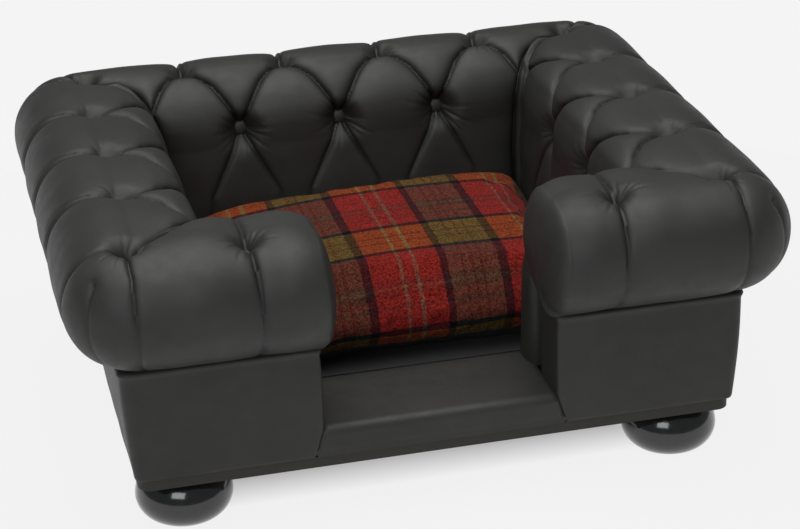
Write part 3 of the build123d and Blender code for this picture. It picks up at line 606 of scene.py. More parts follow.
# %% The pleats of this bed
pleats = diamond_pleats(BACK_WALL, BACK_TUFTS, BACK_BUTTONS)
pleats += fan_pleats(BACK_WALL, BACK_BUTTONS, 40.0)
pleats += outer_pleats(BACK_WALL, BACK_TUFTS, -7.0, 9.0)
for wall in ARM_WALLS:
    pleats += diamond_pleats(wall, ARM_TUFTS, ARM_BUTTONS)
    pleats += fan_pleats(wall, ARM_BUTTONS, 36.0)
    pleats += outer_pleats(wall, ARM_TUFTS, 0.0, 12.0)
for side, tuft in zip((-1, 1), FRONT_TUFTS):
    pleats += outer_pleats(FRONT_WALL, (tuft,), side * -7.0)
    inner = [(tuft, FRONT_WALL.tuft), (tuft, 2.4), (tuft, 3.4)]
    pleats.append(pleat(FRONT_WALL, inner, (VALLEY, 4.0, 0.3), (FOLD, 2.0, 0.2)))
    rear_tuft = (side * BACK_CORNER_TUFT[0], BACK_CORNER_TUFT[1])
    pleats.append(mitre_pleat(BACK_WALL, side, rear_tuft))
    pleats.append(mitre_pleat(FRONT_WALL, side, (side * AXIS_X, ROLL_EDGE)))
print(len(pleats), "pleats on the walls")

# %% [markdown]
# Round the outer corners the leather is cut and gathered, which leaves seams that run straight in
# plan from the corner tuft to the edge of the roll and then down it. On a corner a straight line
# isn't linear in angle and station, so a seam is written as steps in plan and then converted.

# %% Seams round the outer corners
FRONT_SEAMS = {
    -1: ((10, 10), (11, 20), (12, 36), (12, 56), (12, 77)),
    1: ((4, 6), (10, 14), (12, 33), (12, 56), (12, 77)),
}
SIDE_SEAM = ((6, 1), (20, 2), (40, 3), (60, 3), (78, 2))
MIDDLE_SEAM = ((48, 42), (54, 50), (57, 53))
REAR_SEAMS = (((-4, 6), (6, 20), (18, 40), (30, 71)), ((-4, 6), (20, 10), (42, 22), (70, 34)))


def corner_seam(corner, steps, strength=1.0):
    """A seam round a corner through (aside, ahead) steps in mm from its axis, and then down."""
    line = []
    for aside, ahead in steps:
        out = min(math.hypot(aside, ahead) - CORNER_AXIS, ROLL_RADIUS)
        lifted = math.degrees(math.acos(out / ROLL_RADIUS))
        station = 1 + (lifted - NECK_ANGLE) / (AXIS_ANGLE - NECK_ANGLE)
        line.append((math.degrees(math.atan2(aside, ahead)), min(station, ROLL_EDGE)))
    line += [(line[-1][0], 1.2), (line[-1][0], 0.3)]
    fade = np.interp(np.arange(len(line)), (0, 1, len(line) - 1), (1.0, 0.5, 0.15)) * strength
    return pleat(corner, line, VALLEY * fade, FOLD * np.clip(fade * 1.8, 0, 1))


for (x, y), corner in CORNERS.items():
    if y > 0:
        pleats += [corner_seam(corner, seam) for seam in REAR_SEAMS]
    else:
        pleats += [corner_seam(corner, FRONT_SEAMS[x]), corner_seam(corner, SIDE_SEAM)]
        pleats.append(corner_seam(corner, MIDDLE_SEAM, 0.35))
print(len(pleats), "pleats and seams in all")

# %% [markdown]
# Stuffed leather between folds swells like a pillow: steep beside a fold and almost flat in the
# middle. A smooth distance to all pleats at once gives that without a ridge where two of them are
# equally near. It is the sum, over every short piece of every pleat, of an inverse cube of the
# distance, turned back into a length. The sharp fold itself follows the plain nearest distance.

# %% How far the leather sinks
# The last of these is how far the painted shade beside a fold reaches, in mm.
VALLEY_REACH, FOLD_REACH, FOLD_SHADE_REACH = 21.0, 2.0, 2.8
NEAR = 0.25
TOO_SHORT = 0.01


def pleat_pieces(chosen):
    """The short straight pieces of these pleats in mm, with the depths at both ends."""
    starts, ends, depths = [], [], []
    for p in chosen:
        points = p["surface"].place(p["line"][:, 0], p["line"][:, 1])[0]
        both = np.stack([p["valley"], p["fold"]], -1)
        starts.append(points[:-1])
        ends.append(points[1:])
        depths.append(np.stack([both[:-1], both[1:]], 1))
    return np.concatenate(starts), np.concatenate(ends), np.concatenate(depths)


def sunk(points, pieces):
    """How many mm the leather lies below the full roll because of pleats, and how much painted
    shade it gets in their folds.
    """
    pull, valley, fold = np.zeros((3, len(points)))
    nearest = np.full(len(points), 1e9)
    for start, end, depth in zip(*pieces):
        run = end - start
        length = np.linalg.norm(run)
        if length < TOO_SHORT:
            continue
        run = run / length
        away = points - start
        along = away @ run
        square = np.maximum((away**2).sum(1) - along**2, 0) + NEAR
        left = length - along
        force = (left / np.sqrt(left**2 + square) + along / np.sqrt(along**2 + square)) / square
        share = np.clip(along / length, 0, 1)
        pull += force
        valley += force * (depth[0, 0] * (1 - share) + depth[1, 0] * share)
        fold += force * (depth[0, 1] * (1 - share) + depth[1, 1] * share)
        past = along - share * length
        nearest = np.minimum(nearest, square + past**2)
    distance = 1.0 / np.sqrt(0.5 * pull)
    nearest = np.sqrt(nearest)
    valley, fold = valley / pull, fold / pull
    depth = valley * np.exp(-distance / VALLEY_REACH) + fold * np.exp(-nearest / FOLD_REACH)
    # The second value is painted shade, strongest right at the fold line.
    return depth, fold * np.exp(-nearest / FOLD_SHADE_REACH)


ALL_PIECES = pleat_pieces(pleats)
print(len(ALL_PIECES[0]), "short pieces of pleat")

# %% [markdown]
# At each button the leather is drawn down into a pit, and short creases run out of it like spokes.
# The pit is a bell curve. The creases are narrow grooves at odd angles, each with its own length
# and with a low lip on both sides, as a pinched hide has. They are drawn from a seeded generator,
# so that the bed comes out the same every time.

# %% A button's pit
PIT_POWER = 2.6
CREASE_WIDTH, CREASE_POWER = 1.7, 0.7
CREASE_START, CREASE_RUN, CREASES_END = 4.0, 5.0, 60.0
LIP_WIDTH, LIP_SHARE = 2.2 * CREASE_WIDTH, 0.35
LOOK_AHEAD = 0.03


class Pit:
    """A button's pit: where it is, how deep and wide, and the creases round it."""

    def __init__(self, surface, distance, station, seed, depth, width, creases, reach, strength):
        place, normal = surface.place(np.array([distance]), np.array([station]))
        further = surface.place(np.array([distance]), np.array([station - LOOK_AHEAD]))[0]
        ahead = further[0] - place[0]
        self.centre, self.normal = place[0], normal[0] / np.linalg.norm(normal[0])
        self.up = ahead / np.linalg.norm(ahead)
        self.side = np.cross(self.up, self.normal)
        self.depth, self.width, self.low = depth, width, station >= BUTTON
        draw = np.random.default_rng(seed)
        angles = (np.arange(creases) + draw.uniform(-0.3, 0.3, creases)) * 2 * math.pi / creases
        self.creases = [
            (a, draw.uniform(*reach), draw.uniform(0.5, 1.5) * strength) for a in angles
        ]

    def sunk(self, points):
        """How many mm the pit and its creases take off these points."""
        away = points - self.centre
        a, b = away @ self.side, away @ self.up
        far = np.sqrt((away**2).sum(1))
        depth = self.depth * np.exp(-((far / self.width) ** PIT_POWER))
        close = far < CREASES_END
        r, angle = np.hypot(a[close], b[close]), np.arctan2(a[close], b[close])
        extra = np.zeros(r.shape)
        for turn, reach, strength in self.creases:
            off = (angle - turn + math.pi) % (2 * math.pi) - math.pi
            across = np.sin(np.clip(off, -math.pi / 2, math.pi / 2)) * r
            fade = np.clip((r - CREASE_START) / CREASE_RUN, 0, 1)
            fade = fade * np.clip(1 - r / reach, 0, 1) ** CREASE_POWER
            groove = np.exp(-((across / CREASE_WIDTH) ** 2))
            groove = groove - LIP_SHARE * np.exp(-((across / LIP_WIDTH) ** 2))
            extra += strength * fade * groove * (np.abs(off) < math.pi / 2)
        depth[close] += extra
        return depth


print("creases are about", CREASE_WIDTH, "mm wide")

# %% [markdown]
# The lower buttons are pulled in harder than the upper ones, and the front corners hardest of all,
# because the most leather is gathered there. So each kind of pit has its own line of values: depth
# and width in mm, how many creases, how far they reach at least and at most, and how strong they
# are.

# %% All pits
TOP_OF_BACK = (9.0, 13.0, 12, (16.0, 34.0), 1.3)
LOW_ON_BACK = (13.0, 19.0, 16, (24.0, 48.0), 2.2)
TOP_OF_ARM = (8.0, 14.0, 14, (18.0, 40.0), 1.5)
LOW_ON_ARM = (10.0, 18.0, 16, (22.0, 42.0), 1.9)
TOP_OF_FRONT = (9.5, 14.0, 13, (22.0, 40.0), 2.3)
REAR_CORNER = (9.0, 12.0, 10, (14.0, 28.0), 1.0)
FRONT_CORNER = (13.5, 16.0, 12, (22.0, 42.0), 2.1)

spots = []
for n, tuft in enumerate(BACK_TUFTS):
    spots.append((BACK_WALL, tuft, BACK_WALL.tuft, 10 + n, *TOP_OF_BACK))
for n, button in enumerate(BACK_BUTTONS):
    spots.append((BACK_WALL, button, BUTTON, 20 + n, *LOW_ON_BACK))
for n, (wall, tuft) in enumerate((w, t) for w in ARM_WALLS for t in ARM_TUFTS):
    spots.append((wall, tuft, wall.tuft, 30 + n, *TOP_OF_ARM))
for n, (wall, button) in enumerate((w, b) for w in ARM_WALLS for b in ARM_BUTTONS):
    spots.append((wall, button, BUTTON, 40 + n, *LOW_ON_ARM))
for side, tuft in zip((-1, 1), FRONT_TUFTS):
    spots.append((FRONT_WALL, tuft, FRONT_WALL.tuft, 52 + side, *TOP_OF_FRONT))
for side in (-1, 1):
    tuft, station = BACK_CORNER_TUFT
    spots.append((BACK_WALL, side * tuft, station, 60 + side, *REAR_CORNER))
for side, wall in zip((-1, 1), ARM_WALLS):
    spots.append((wall, *FRONT_CORNER_TUFTS[side], 64 + side, *FRONT_CORNER))
pits = [Pit(*spot) for spot in spots]
print(len(pits), "pits")

# %% [markdown]
# Each wall is laid out as a fine grid. A pleat seldom follows the grid, and a fold that crosses it
# at a slant would come out as a saw edge. So the grid point nearest to a pleat in each row is moved
# onto it first, and the cells beside it are cut along the fold.

# %% Grids that follow the pleats
STEP = 2.0
ROW_SPACING = (3.0, STEP, STEP, STEP, 5.0)


def snap(columns, stations, chosen):
    """Move grid points onto the pleats. Returns which points lie on one."""
    rows, count = columns.shape
    on_pleat = np.zeros(columns.shape, bool)
    row_of = stations[:, 0].copy()
    start_columns = columns.copy()
    for p in chosen:
        line = p["line"]
        row = np.interp(line[:, 1], row_of, np.arange(rows))
        places = [start_columns[int(round(r))] for r in row]
        column = [np.interp(u, place, np.arange(count)) for (u, _), place in zip(line, places)]
        for k in range(len(line) - 1):
            (u0, s0), (u1, s1) = line[k], line[k + 1]
            r0, r1, c0, c1 = row[k], row[k + 1], column[k], column[k + 1]
            if abs(r1 - r0) >= abs(c1 - c0):
                for j in range(math.ceil(min(r0, r1)), math.floor(max(r0, r1)) + 1):
                    share = (j - r0) / (r1 - r0) if r1 != r0 else 0.0
                    u = u0 + (u1 - u0) * share
                    i = int(np.argmin(np.abs(start_columns[j] - u)))
                    if 0 < i < count - 1:
                        columns[j, i] = u
                        on_pleat[j, i] = True
            else:
                for i in range(math.ceil(min(c0, c1)), math.floor(max(c0, c1)) + 1):
                    share = (i - c0) / (c1 - c0)
                    s = s0 + (s1 - s0) * share
                    j = int(np.argmin(np.abs(row_of - s)))
                    if 0 < j < rows - 1:
                        stations[j, i] = s
                        columns[j, i] = u0 + (u1 - u0) * share
                        on_pleat[j, i] = True
    return on_pleat


print("a roll has", len(BACK.rows(ROW_SPACING)), "rows of points from neck to deck")

# %% [markdown]
# No two puffs of stuffing are alike. A few slow waves in random directions make them uneven, and a
# little extra swell makes the rolls plump, most of all beside the buttons of the front returns. The
# rolls get thinner towards the entrance.

# %% Stuffing
WAVES = 7
PLUMP = 2.2
INSIDE_START, INSIDE_RUN = 240.0, 25.0
FRONT_START, FRONT_RUN = 150.0, 30.0
FRONT_PUFFS = ((4.0, -235.0, 30.0), (2.5, 212.0, 26.0))
NOSE_TAPER, TAPER_START, TAPER_RUN = 8.6, 158.0, 34.0
UPPER_START, UPPER_RUN, UPPER_SHARE = -30.0, 60.0, 0.4
BAND_START, BAND_RUN, BAND_SHARE = -66.0, 30.0, 0.6


def ripple(points, seed, height=0.35, length=70.0):
    """A slow uneven swell of the stuffing, as a sum of a few waves."""
    draw = np.random.default_rng(seed)
    total = np.zeros(len(points))
    for _ in range(WAVES):
        direction = draw.normal(size=3)
        direction /= np.linalg.norm(direction)
        wave = length * draw.uniform(0.5, 1.6)
        total += np.sin(points @ direction * 2 * math.pi / wave + draw.uniform(0, 6.28)) / WAVES
    return total * height * 2.2


def rise(value, start, run):
    """From 0 at the start to 1 a run further on."""
    return np.clip((value - start) / run, 0, 1)


def stuffing(points):
    """Extra swell in mm: all over the rolls, more beside the front tufts, less at the noses."""
    x, y, z = points.T
    height = z - ROLL_Z
    outside = (np.abs(x) > ROLL_X) | (np.abs(y) > ROLL_Y)
    swell = PLUMP * np.where(outside, 1.0, rise(z, INSIDE_START, INSIDE_RUN))
    puffs = [much * np.exp(-(((x - place) / wide) ** 2)) for much, place, wide in FRONT_PUFFS]
    beside = np.where(x < 0, *puffs)
    thinner = NOSE_TAPER * rise(-np.abs(x), -TAPER_START, TAPER_RUN) ** 2
    on_front = rise(-y, FRONT_START, FRONT_RUN)
    upper = on_front * rise(height, UPPER_START, UPPER_RUN)
    above_band = on_front * rise(height, BAND_START, BAND_RUN)
    return swell + upper * (beside - thinner * UPPER_SHARE) - above_band * thinner * BAND_SHARE


print("rolls swell by", PLUMP, "mm")

# %% [markdown]
# Dressing a surface means moving each point of the smooth wall along its own normal by what pleats,
# pits and stuffing say there. Walls that meet in an inside corner are drawn in to the mitre line
# first, by squeezing the last stretch of the grid.

# %% Dressing walls and corners
AROUND = 90.0
SQUEEZED = 150.0
# How strongly fold lines and button pits are painted with shade.
FOLD_SHADE, PIT_SHADE = 1.3, 0.8
CORNER_COLUMNS = 61


def dress(base, normal):
    """Push the points of a smooth surface in where pleats and buttons pull the leather, and paint
    shade into their folds and pits.
    """
    flat, away = base.reshape(-1, 3), normal.reshape(-1, 3)
    low, high = flat.min(0) - AROUND, flat.max(0) + AROUND
    middle = (ALL_PIECES[0] + ALL_PIECES[1]) / 2
    near = ((middle > low) & (middle < high)).all(1)
    depth, painted_shade = sunk(flat, [p[near] for p in ALL_PIECES])
    # Painted shade: points in folds and in button pits get a darker colour through the attribute.
    painted_shade = np.clip(FOLD_SHADE * painted_shade / FOLD, 0, 1)
    for pit in pits:
        if ((pit.centre > low) & (pit.centre < high)).all():
            pulled = pit.sunk(flat)
            depth += pulled
            painted_shade = np.maximum(painted_shade, np.clip(pulled / pit.depth, 0, 1) * PIT_SHADE)
    depth -= ripple(flat, 5) + stuffing(flat)
    return np.column_stack([flat - away * depth[:, None], painted_shade]).reshape(*base.shape[:2], 4)


def surface_patch(surface, columns, stations, flip):
    """The dressed grid of a wall or a corner, with its cells cut along the pleats."""
    on_pleat = snap(columns, stations, [p for p in pleats if p["surface"] is surface])
    return dress(*surface.place(columns, stations)), grid_triangles(*columns.shape, on_pleat, flip)


def wall_patch(wall, start, end):
    """A dressed straight wall between two distances, drawn in to the mitres at its ends."""
    rows = wall.section.rows(ROW_SPACING)
    even = np.linspace(start, end, int(round((end - start) / STEP)) + 1)
    bend = wall.full - SQUEEZED
    share = np.clip((np.abs(even) - bend) / SQUEEZED, 0, None)[None]
    low, high = wall.limits(rows)
    reach = np.where(even[None] > 0, high[:, None], -low[:, None])
    squeezed = np.minimum(np.abs(even), bend)[None] + share * (reach - bend)
    stations = np.repeat(rows[:, None], len(even), 1)
    flip = wall.along_x == (wall.side > 0)
    return surface_patch(wall, np.sign(even)[None] * squeezed, stations, flip)


def corner_patch(corner):
    """A dressed quarter turn of the outer roll."""
    rows = corner.first.rows(ROW_SPACING)
    rows = rows[rows <= ROLL_EDGE + 1e-9]
    columns = np.repeat(np.linspace(0, 90, CORNER_COLUMNS)[None], len(rows), 0)
    stations = np.repeat(rows[:, None], CORNER_COLUMNS, 1)
    return surface_patch(corner, columns, stations, corner.x_sign * corner.y_sign > 0)


print("grid points are", STEP, "mm apart")

# %% [markdown]
# The back and the two arms are one wall patch each. The back also carries the two rear corners and
# the front returns carry the front ones, so that every join lies in a pleat, as it does on the real
# cover, where the seams are hidden in the folds.

# %% Back and arm covers
REAR_CORNERS = [corner_patch(CORNERS[(side, 1)]) for side in (-1, 1)]
back_patches = [wall_patch(BACK_WALL, -AXIS_X, AXIS_X), *REAR_CORNERS]
back_cover = mesh_piece("back_cover_leather", back_patches, LEATHER)
leather_on_bed(back_cover, "back_cover", "back_foam", fill=0.9)
for hand, wall in (("left", LEFT_WALL), ("right", RIGHT_WALL)):
    cover = mesh_piece(f"{hand}_arm_leather", [wall_patch(wall, -AXIS_Y, AXIS_Y)], LEATHER)
    leather_on_bed(cover, f"{hand}_arm_cover", f"{hand}_foam", fill=0.9)

# %% [markdown]
# The front returns end at the entrance. There the roll closes in a full rounded nose, and below it
# the inside padding wraps round the end of the wall as an upright band. The nose is the roll's own
# outline, shrunk towards its middle along a quarter of an ellipse.

# %% The noses and bands at the entrance
GAP_HALF_X = 124.0
NOSE_STEPS = 22
UNDER_NOSE = (
    (-92.0, -5.0), (-88.0, -30.0), (-66.0, -54.0), (-22.0, -66.0), (3.0, PANEL_TOP - ROLL_Z),
)
MIDDLE_REACH, MIDDLE_SHARE, MIDDLE_SHIFT, MIDDLE_HEIGHT = 28.0, 0.7, 4.0, -1.0
NOSE_POWER = 1.12
BAND_TOP, BAND_FRONT, BAND_BULGE, BAND_LEAN = 2.8, -184.0, 10.0, 7.0
BAND_COLUMNS, BAND_POWER = 19, 0.6


def nose_patch(side, length):
    """The rounded end of a front roll. Its first ring is the wall's own section."""
    rows = FRONT.rows(ROW_SPACING)
    rows = rows[rows <= BUTTON + 1e-9]
    out, height, n_out, n_up = FRONT.at(rows)
    under = smooth_line(UNDER_NOSE, 7)[1:-1]
    ring = np.concatenate([np.stack([out, height], -1), under, [[out[0], height[0]]]])
    turn = np.linspace(0, math.pi / 2, NOSE_STEPS)
    middle = np.clip(ring[:, 0], -MIDDLE_REACH, 0.0) * MIDDLE_SHARE - MIDDLE_SHIFT
    middle = np.stack([middle, np.full(len(ring), MIDDLE_HEIGHT)], -1)[:, None]
    shrink = np.cos(turn) ** NOSE_POWER
    grid = middle + (ring[:, None] - middle) * shrink[None, :, None]
    x = np.repeat((side * (GAP_HALF_X - length * np.sin(turn)))[None], len(ring), 0)
    base = np.stack([x, -(ROLL_Y + grid[..., 0]), ROLL_Z + grid[..., 1]], -1)
    normal = np.cross(np.gradient(base, axis=0), np.gradient(base, axis=1)) * side
    size = np.linalg.norm(normal, axis=-1, keepdims=True)
    ahead = np.array([-side, 0.0, 0.0])
    normal = np.where(size > 1e-6, normal / np.maximum(size, 1e-6), ahead)
    normal[: len(rows), 0] = np.stack([np.zeros(len(rows)), -n_out, n_up], -1)
    return dress(base, normal), grid_triangles(*base.shape[:2], flip=side < 0)


def band_patch(side):
    """The inside padding where it wraps round the end of the return wall."""
    rows = FRONT.rows(ROW_SPACING)
    out, height, _, _ = FRONT.at(rows[rows >= BAND_TOP])
    turn = np.linspace(0, math.pi, BAND_COLUMNS)
    y_start = -(ROLL_Y + out)
    y = y_start[:, None] + (BAND_FRONT - y_start)[:, None] * (1 - np.cos(turn))[None] / 2
    swell = np.sin(turn) ** BAND_POWER * BAND_BULGE
    x = side * (GAP_HALF_X - swell + BAND_LEAN * (turn / math.pi) ** 4)
    x = np.repeat(x[None], len(out), 0)
    z = np.repeat((ROLL_Z + height)[:, None], len(turn), 1)
    base = np.stack([x, y, z], -1)
    normal = np.zeros(base.shape)
    normal[..., 0] = -side
    return dress(base, normal), grid_triangles(*base.shape[:2], flip=side < 0)


print("the entrance is", 2 * GAP_HALF_X, "mm wide between the ends of the walls")

# %% [markdown]
# A front return is one piece of upholstery: its wall, its outer corner, its nose and its band. The
# right nose stands out a little further than the left one, as hand stuffing does.

# %% Front returns
HANDS = {-1: "left", 1: "right"}
NOSE_LENGTHS = {-1: 22.0, 1: 28.0}

for side, hand in HANDS.items():
    patches = [
        wall_patch(FRONT_WALL, *sorted((side * GAP_HALF_X, side * AXIS_X))),
        corner_patch(CORNERS[(side, -1)]),
        nose_patch(side, NOSE_LENGTHS[side]),
        band_patch(side),
    ]
    cover = mesh_piece(f"front_{hand}_leather", patches, LEATHER)
    leather_on_bed(cover, f"front_{hand}_cover", f"front_{hand}_foam", fill=0.9)

# %% [markdown]
# The outside below the rolls is plain leather pulled over the boards: flat, with soft corners, a
# tuck along the top under the roll and a slight swell from the wadding. A box with bevelled edges
# would look too stiff. Each panel is a plan line that is carried up the wall instead, so its
# corners can be round, its ends can lean, and the stuffing's slow ripple can run over it.

# %% Carrying a plan line up a wall
BOARD_TOP, STEP_TOP = 69.3, 102.1
BASE_X, BASE_Y, FLARE = 318.5, 261.0, 7.5
PANEL_SWELL, PANEL_RIPPLE = 1.6, (0.45, 90.0)
BOTTOM_EDGE = ((1.2, 9.0), (0.2, 4.0), (0.1, 1.8), (1.0, 0.6), (2.5, 0.1))
TOP_EDGE = ((-7.5, -0.4), (-5.5, -1.6), (-3.5, -2.2), (-1.5, -1.2), (0.3, 1.2), (1.6, 5.0))


def side_x(z):
    """Half the width of the base at a height: the sides lean out a little."""
    return BASE_X + FLARE * (z - BOARD_TOP) / (PANEL_TOP - BOARD_TOP)


def panel_rows(low, high):
    """Heights from a tuck under the bottom edge to one under the roll, and how far in each lies."""
    bottom = [(low + up, inset) for up, inset in BOTTOM_EDGE]
    middle = [(z, 0.0) for z in np.linspace(low + 5.0, high - 10.0, 26)]
    return bottom + middle + [(high + up, inset) for up, inset in TOP_EDGE]


def panel(name, plan_at, seed, low=BOARD_TOP, high=PANEL_TOP):
    """Leather carried up a wall. plan_at gives the plan line and its normals at a height."""
    base, normal = [], []
    for z, inset in panel_rows(low, high):
        line, out = plan_at(z)
        share = (z - low) / (high - low)
        swell = PANEL_SWELL * np.clip(4 * share * (1 - share), 0, 1)
        base.append(np.column_stack([line - out * (inset - swell), np.full(len(line), z)]))
        normal.append(np.column_stack([out, np.zeros(len(line))]))
    base, normal = np.array(base), np.array(normal)
    lift = ripple(base.reshape(-1, 3), seed, *PANEL_RIPPLE).reshape(base.shape[:2])
    base = base + normal * lift[..., None]
    return mesh_piece(name, [(base, grid_triangles(*base.shape[:2]))], LEATHER)


print("panels stand", BOARD_TOP, "to", PANEL_TOP, "mm above the floor")

# %% [markdown]
# The plan lines run anticlockwise round the bed. The front and back panels are wrapped round the
# corners and end in a small turn inward, and each side panel is tucked in beside those wraps, so
# that no board shows at a join. Lines on the left are the right ones mirrored.

# %% Plan lines of the outer panels
GAP_SLANT = 8.5
PANEL_CORNER, JAMB_CORNER = 9.0, 4.0
MIRROR = np.array([-1.0, 1.0])


def plan_arc(centre, radius, start, end, steps=7):
    """Points of an arc in plan, angles in degrees."""
    a = np.radians(np.linspace(start, end, steps))
    return np.stack([centre[0] + radius * np.cos(a), centre[1] + radius * np.sin(a)], -1)


def with_normals(line, side=1):
    """A plan line, mirrored to the left where side is -1, and its outward normals."""
    if side < 0:
        line = line[::-1] * MIRROR
    run = np.gradient(line, axis=0)
    run /= np.linalg.norm(run, axis=1)[:, None]
    return line, np.stack([run[:, 1], -run[:, 0]], -1)


def front_plan(side, z):
    """A front panel, from the jamb to round the outer corner."""
    gap = GAP_HALF_X + GAP_SLANT * np.clip((STEP_TOP - z) / (STEP_TOP - BOARD_TOP), 0, 1)
    edge, r, soft, y = side_x(z), PANEL_CORNER, JAMB_CORNER, -BASE_Y
    jamb = [(gap + 0.3, y + 12.0), (gap + 0.3, y + 7.0)]
    turn_in = plan_arc((gap + soft + 0.3, y + soft), soft, 180, 270)
    face = [(x, y) for x in np.linspace(gap + 9.0, edge - r - 4.0, 36)]
    turn_out = plan_arc((edge - r, y + r), r, 270, 360, 9)
    wrap = [(edge, y + r + 2.0), (edge - 1.2, y + r + 3.2), (edge - 6.0, y + r + 3.6)]
    return with_normals(np.concatenate([jamb, turn_in, face, turn_out, wrap]), side)


def back_plan(z):
    """The back panel, round both rear corners."""
    edge, r, y = side_x(z), PANEL_CORNER, BASE_Y
    start = np.array([(edge - 6.0, y - r - 3.6), (edge - 1.2, y - r - 3.2), (edge, y - r - 2.0)])
    first = plan_arc((edge - r, y - r), r, 0, 90, 9)
    face = [(x, y) for x in np.linspace(edge - r - 4.0, -edge + r + 4.0, 90)]
    last = plan_arc((-edge + r, y - r), r, 90, 180, 9)
    return with_normals(np.concatenate([start, first, face, last, start[::-1] * MIRROR]))


def side_plan(side, z):
    """A side panel, tucked in beside the corner wraps."""
    edge, end = side_x(z), BASE_Y - PANEL_CORNER - 3.4
    tuck = [(edge - 6.0, -end), (edge - 2.0, -end), (edge - 0.5, -end + 0.8), (edge, -end + 2.5)]
    face = [(edge, y) for y in np.linspace(-end + 6.0, end - 6.0, 80)]
    return with_normals(np.array(tuck + face + [(x, -y) for x, y in tuck[::-1]]), side)


print("the back panel's plan line has", len(back_plan(BOARD_TOP)[0]), "points")

# %% [markdown]
# Five panels close the outside. Each gets its own seed, so that no two of them ripple alike.

# %% Outer panels
for name, plan_at, seed in (
    ("front_right_panel", lambda z: front_plan(1, z), 71),
    ("front_left_panel", lambda z: front_plan(-1, z), 72),
    ("back_panel", back_plan, 73),
    ("right_panel", lambda z: side_plan(1, z), 74),
    ("left_panel", lambda z: side_plan(-1, z), 75),
):
    leather_on_bed(panel(name + "_leather", plan_at, seed), name)

# %% [markdown]
# The jambs of the entrance are faced with a narrow strip of leather each. A strip is a closed shape
# with a soft edge, and so are the step and the cushion further on, so one helper makes a rounded
# box as six gridded sides: each point of a plain box is moved to a fixed distance from a core.

# %% A rounded box, and the jamb facings
JAMB_FRONT, JAMB_BACK = -BASE_Y + 6.0, -201.0
JAMB_LOW, JAMB_HIGH, JAMB_THICK = STEP_TOP - 12.0, PANEL_TOP + 4.0, 7.0
JAMB_ROUND = 2.4


def rounded_box(size, radius, cells):
    """Points and triangles of a box with rounded edges, centred on the origin."""
    half = np.array(size) / 2
    inner = half - radius
    patches = []
    for axis in range(3):
        u, v = (axis + 1) % 3, (axis + 2) % 3
        for sign in (-1, 1):
            a = np.linspace(-half[u], half[u], cells[u] + 1)
            b = np.linspace(-half[v], half[v], cells[v] + 1)
            grid = np.zeros((len(a), len(b), 3))
            grid[..., axis] = sign * half[axis]
            grid[..., u], grid[..., v] = a[:, None], b[None]
            core = np.clip(grid, -inner, inner)
            away = grid - core
            away /= np.linalg.norm(away, axis=-1, keepdims=True)
            patches.append((core + away * radius, grid_triangles(*grid.shape[:2], flip=sign > 0)))
    return patches


depth = JAMB_BACK - JAMB_FRONT
for side, hand in HANDS.items():
    patches = []
    size = (JAMB_THICK, depth, JAMB_HIGH - JAMB_LOW)
    for points, faces in rounded_box(size, JAMB_ROUND, (6, 24, 36)):
        x = side * (GAP_HALF_X + JAMB_THICK / 2 - 0.4) + points[..., 0]
        x = x - side * np.cos(np.clip(points[..., 1] / depth, -0.5, 0.5) * math.pi)
        y = (JAMB_BACK + JAMB_FRONT) / 2 + points[..., 1]
        z = (JAMB_LOW + JAMB_HIGH) / 2 + points[..., 2]
        patches.append((np.stack([x, y, z], -1), faces))
    leather_on_bed(mesh_piece(f"{hand}_jamb_leather", patches, LEATHER), f"{hand}_jamb_facing")

# %% [markdown]
# The step is a padded tread that the dog walks over. It starts as the same rounded box, widened at
# the foot of its front where the opening widens, with a square lower front edge that hides the
# board, and with a little crown in the middle of the tread.

# %% The step
STEP_BACK, STEP_TUCK = -142.0, 3.0
STEP_ROUND, STEP_CROWN = 9.0, 1.2
depth, height = STEP_BACK + BASE_Y, STEP_TOP - BOARD_TOP
patches = []
size = (2 * (GAP_HALF_X + GAP_SLANT), depth, height)
for points, faces in rounded_box(size, STEP_ROUND, (110, 50, 18)):
    px, py, pz = points[..., 0], points[..., 1], points[..., 2]
    share = np.clip((pz + height / 2) / height, 0, 1)
    width = GAP_HALF_X + GAP_SLANT * (1 - share) * (py < -depth / 2 + 14.0)
    x = px / (GAP_HALF_X + GAP_SLANT) * (width + STEP_TUCK)
    lower = (pz < STEP_ROUND - height / 2) & (py < STEP_ROUND - depth / 2)
    y = np.where(lower, 0.4 - BASE_Y, (STEP_BACK - BASE_Y) / 2 + py)
    top = (pz > height / 2 - 4.0) * np.cos(np.clip(x / 250.0, -0.5, 0.5) * math.pi)
    z = (BOARD_TOP + STEP_TOP) / 2 + pz
    z = z + STEP_CROWN * top * np.clip(np.cos(py / depth * math.pi), 0, 1)
    patches.append((np.stack([x, y, z], -1), faces))
step = mesh_piece("step_leather", patches, LEATHER)
leather_on_bed(step, "step_cover", "step_foam", fill=0.8)
print("step", round(depth), "mm deep and", round(height), "mm high")

# %% [markdown]
# The buttons are covered with the same leather: a low dome whose skin is drawn in at the rim, with
# the faint ridges of the gathered hide. Each sits at the bottom of its pit and looks out along it.
# A profile turned round an axis is all that a dome needs, as on a lathe.

# %% Buttons
DOME = (
    (0.0, 5.6), (2.2, 5.5), (4.4, 5.1), (6.4, 4.4), (8.0, 3.3),
    (9.1, 1.9), (9.5, 0.3), (9.0, -1.4), (7.6, -2.6),
)
RIDGES, RIDGE_HEIGHT = (9, 13, 16), 0.22
LOW_SEAT, TOP_SEAT = 6.5, 2.5


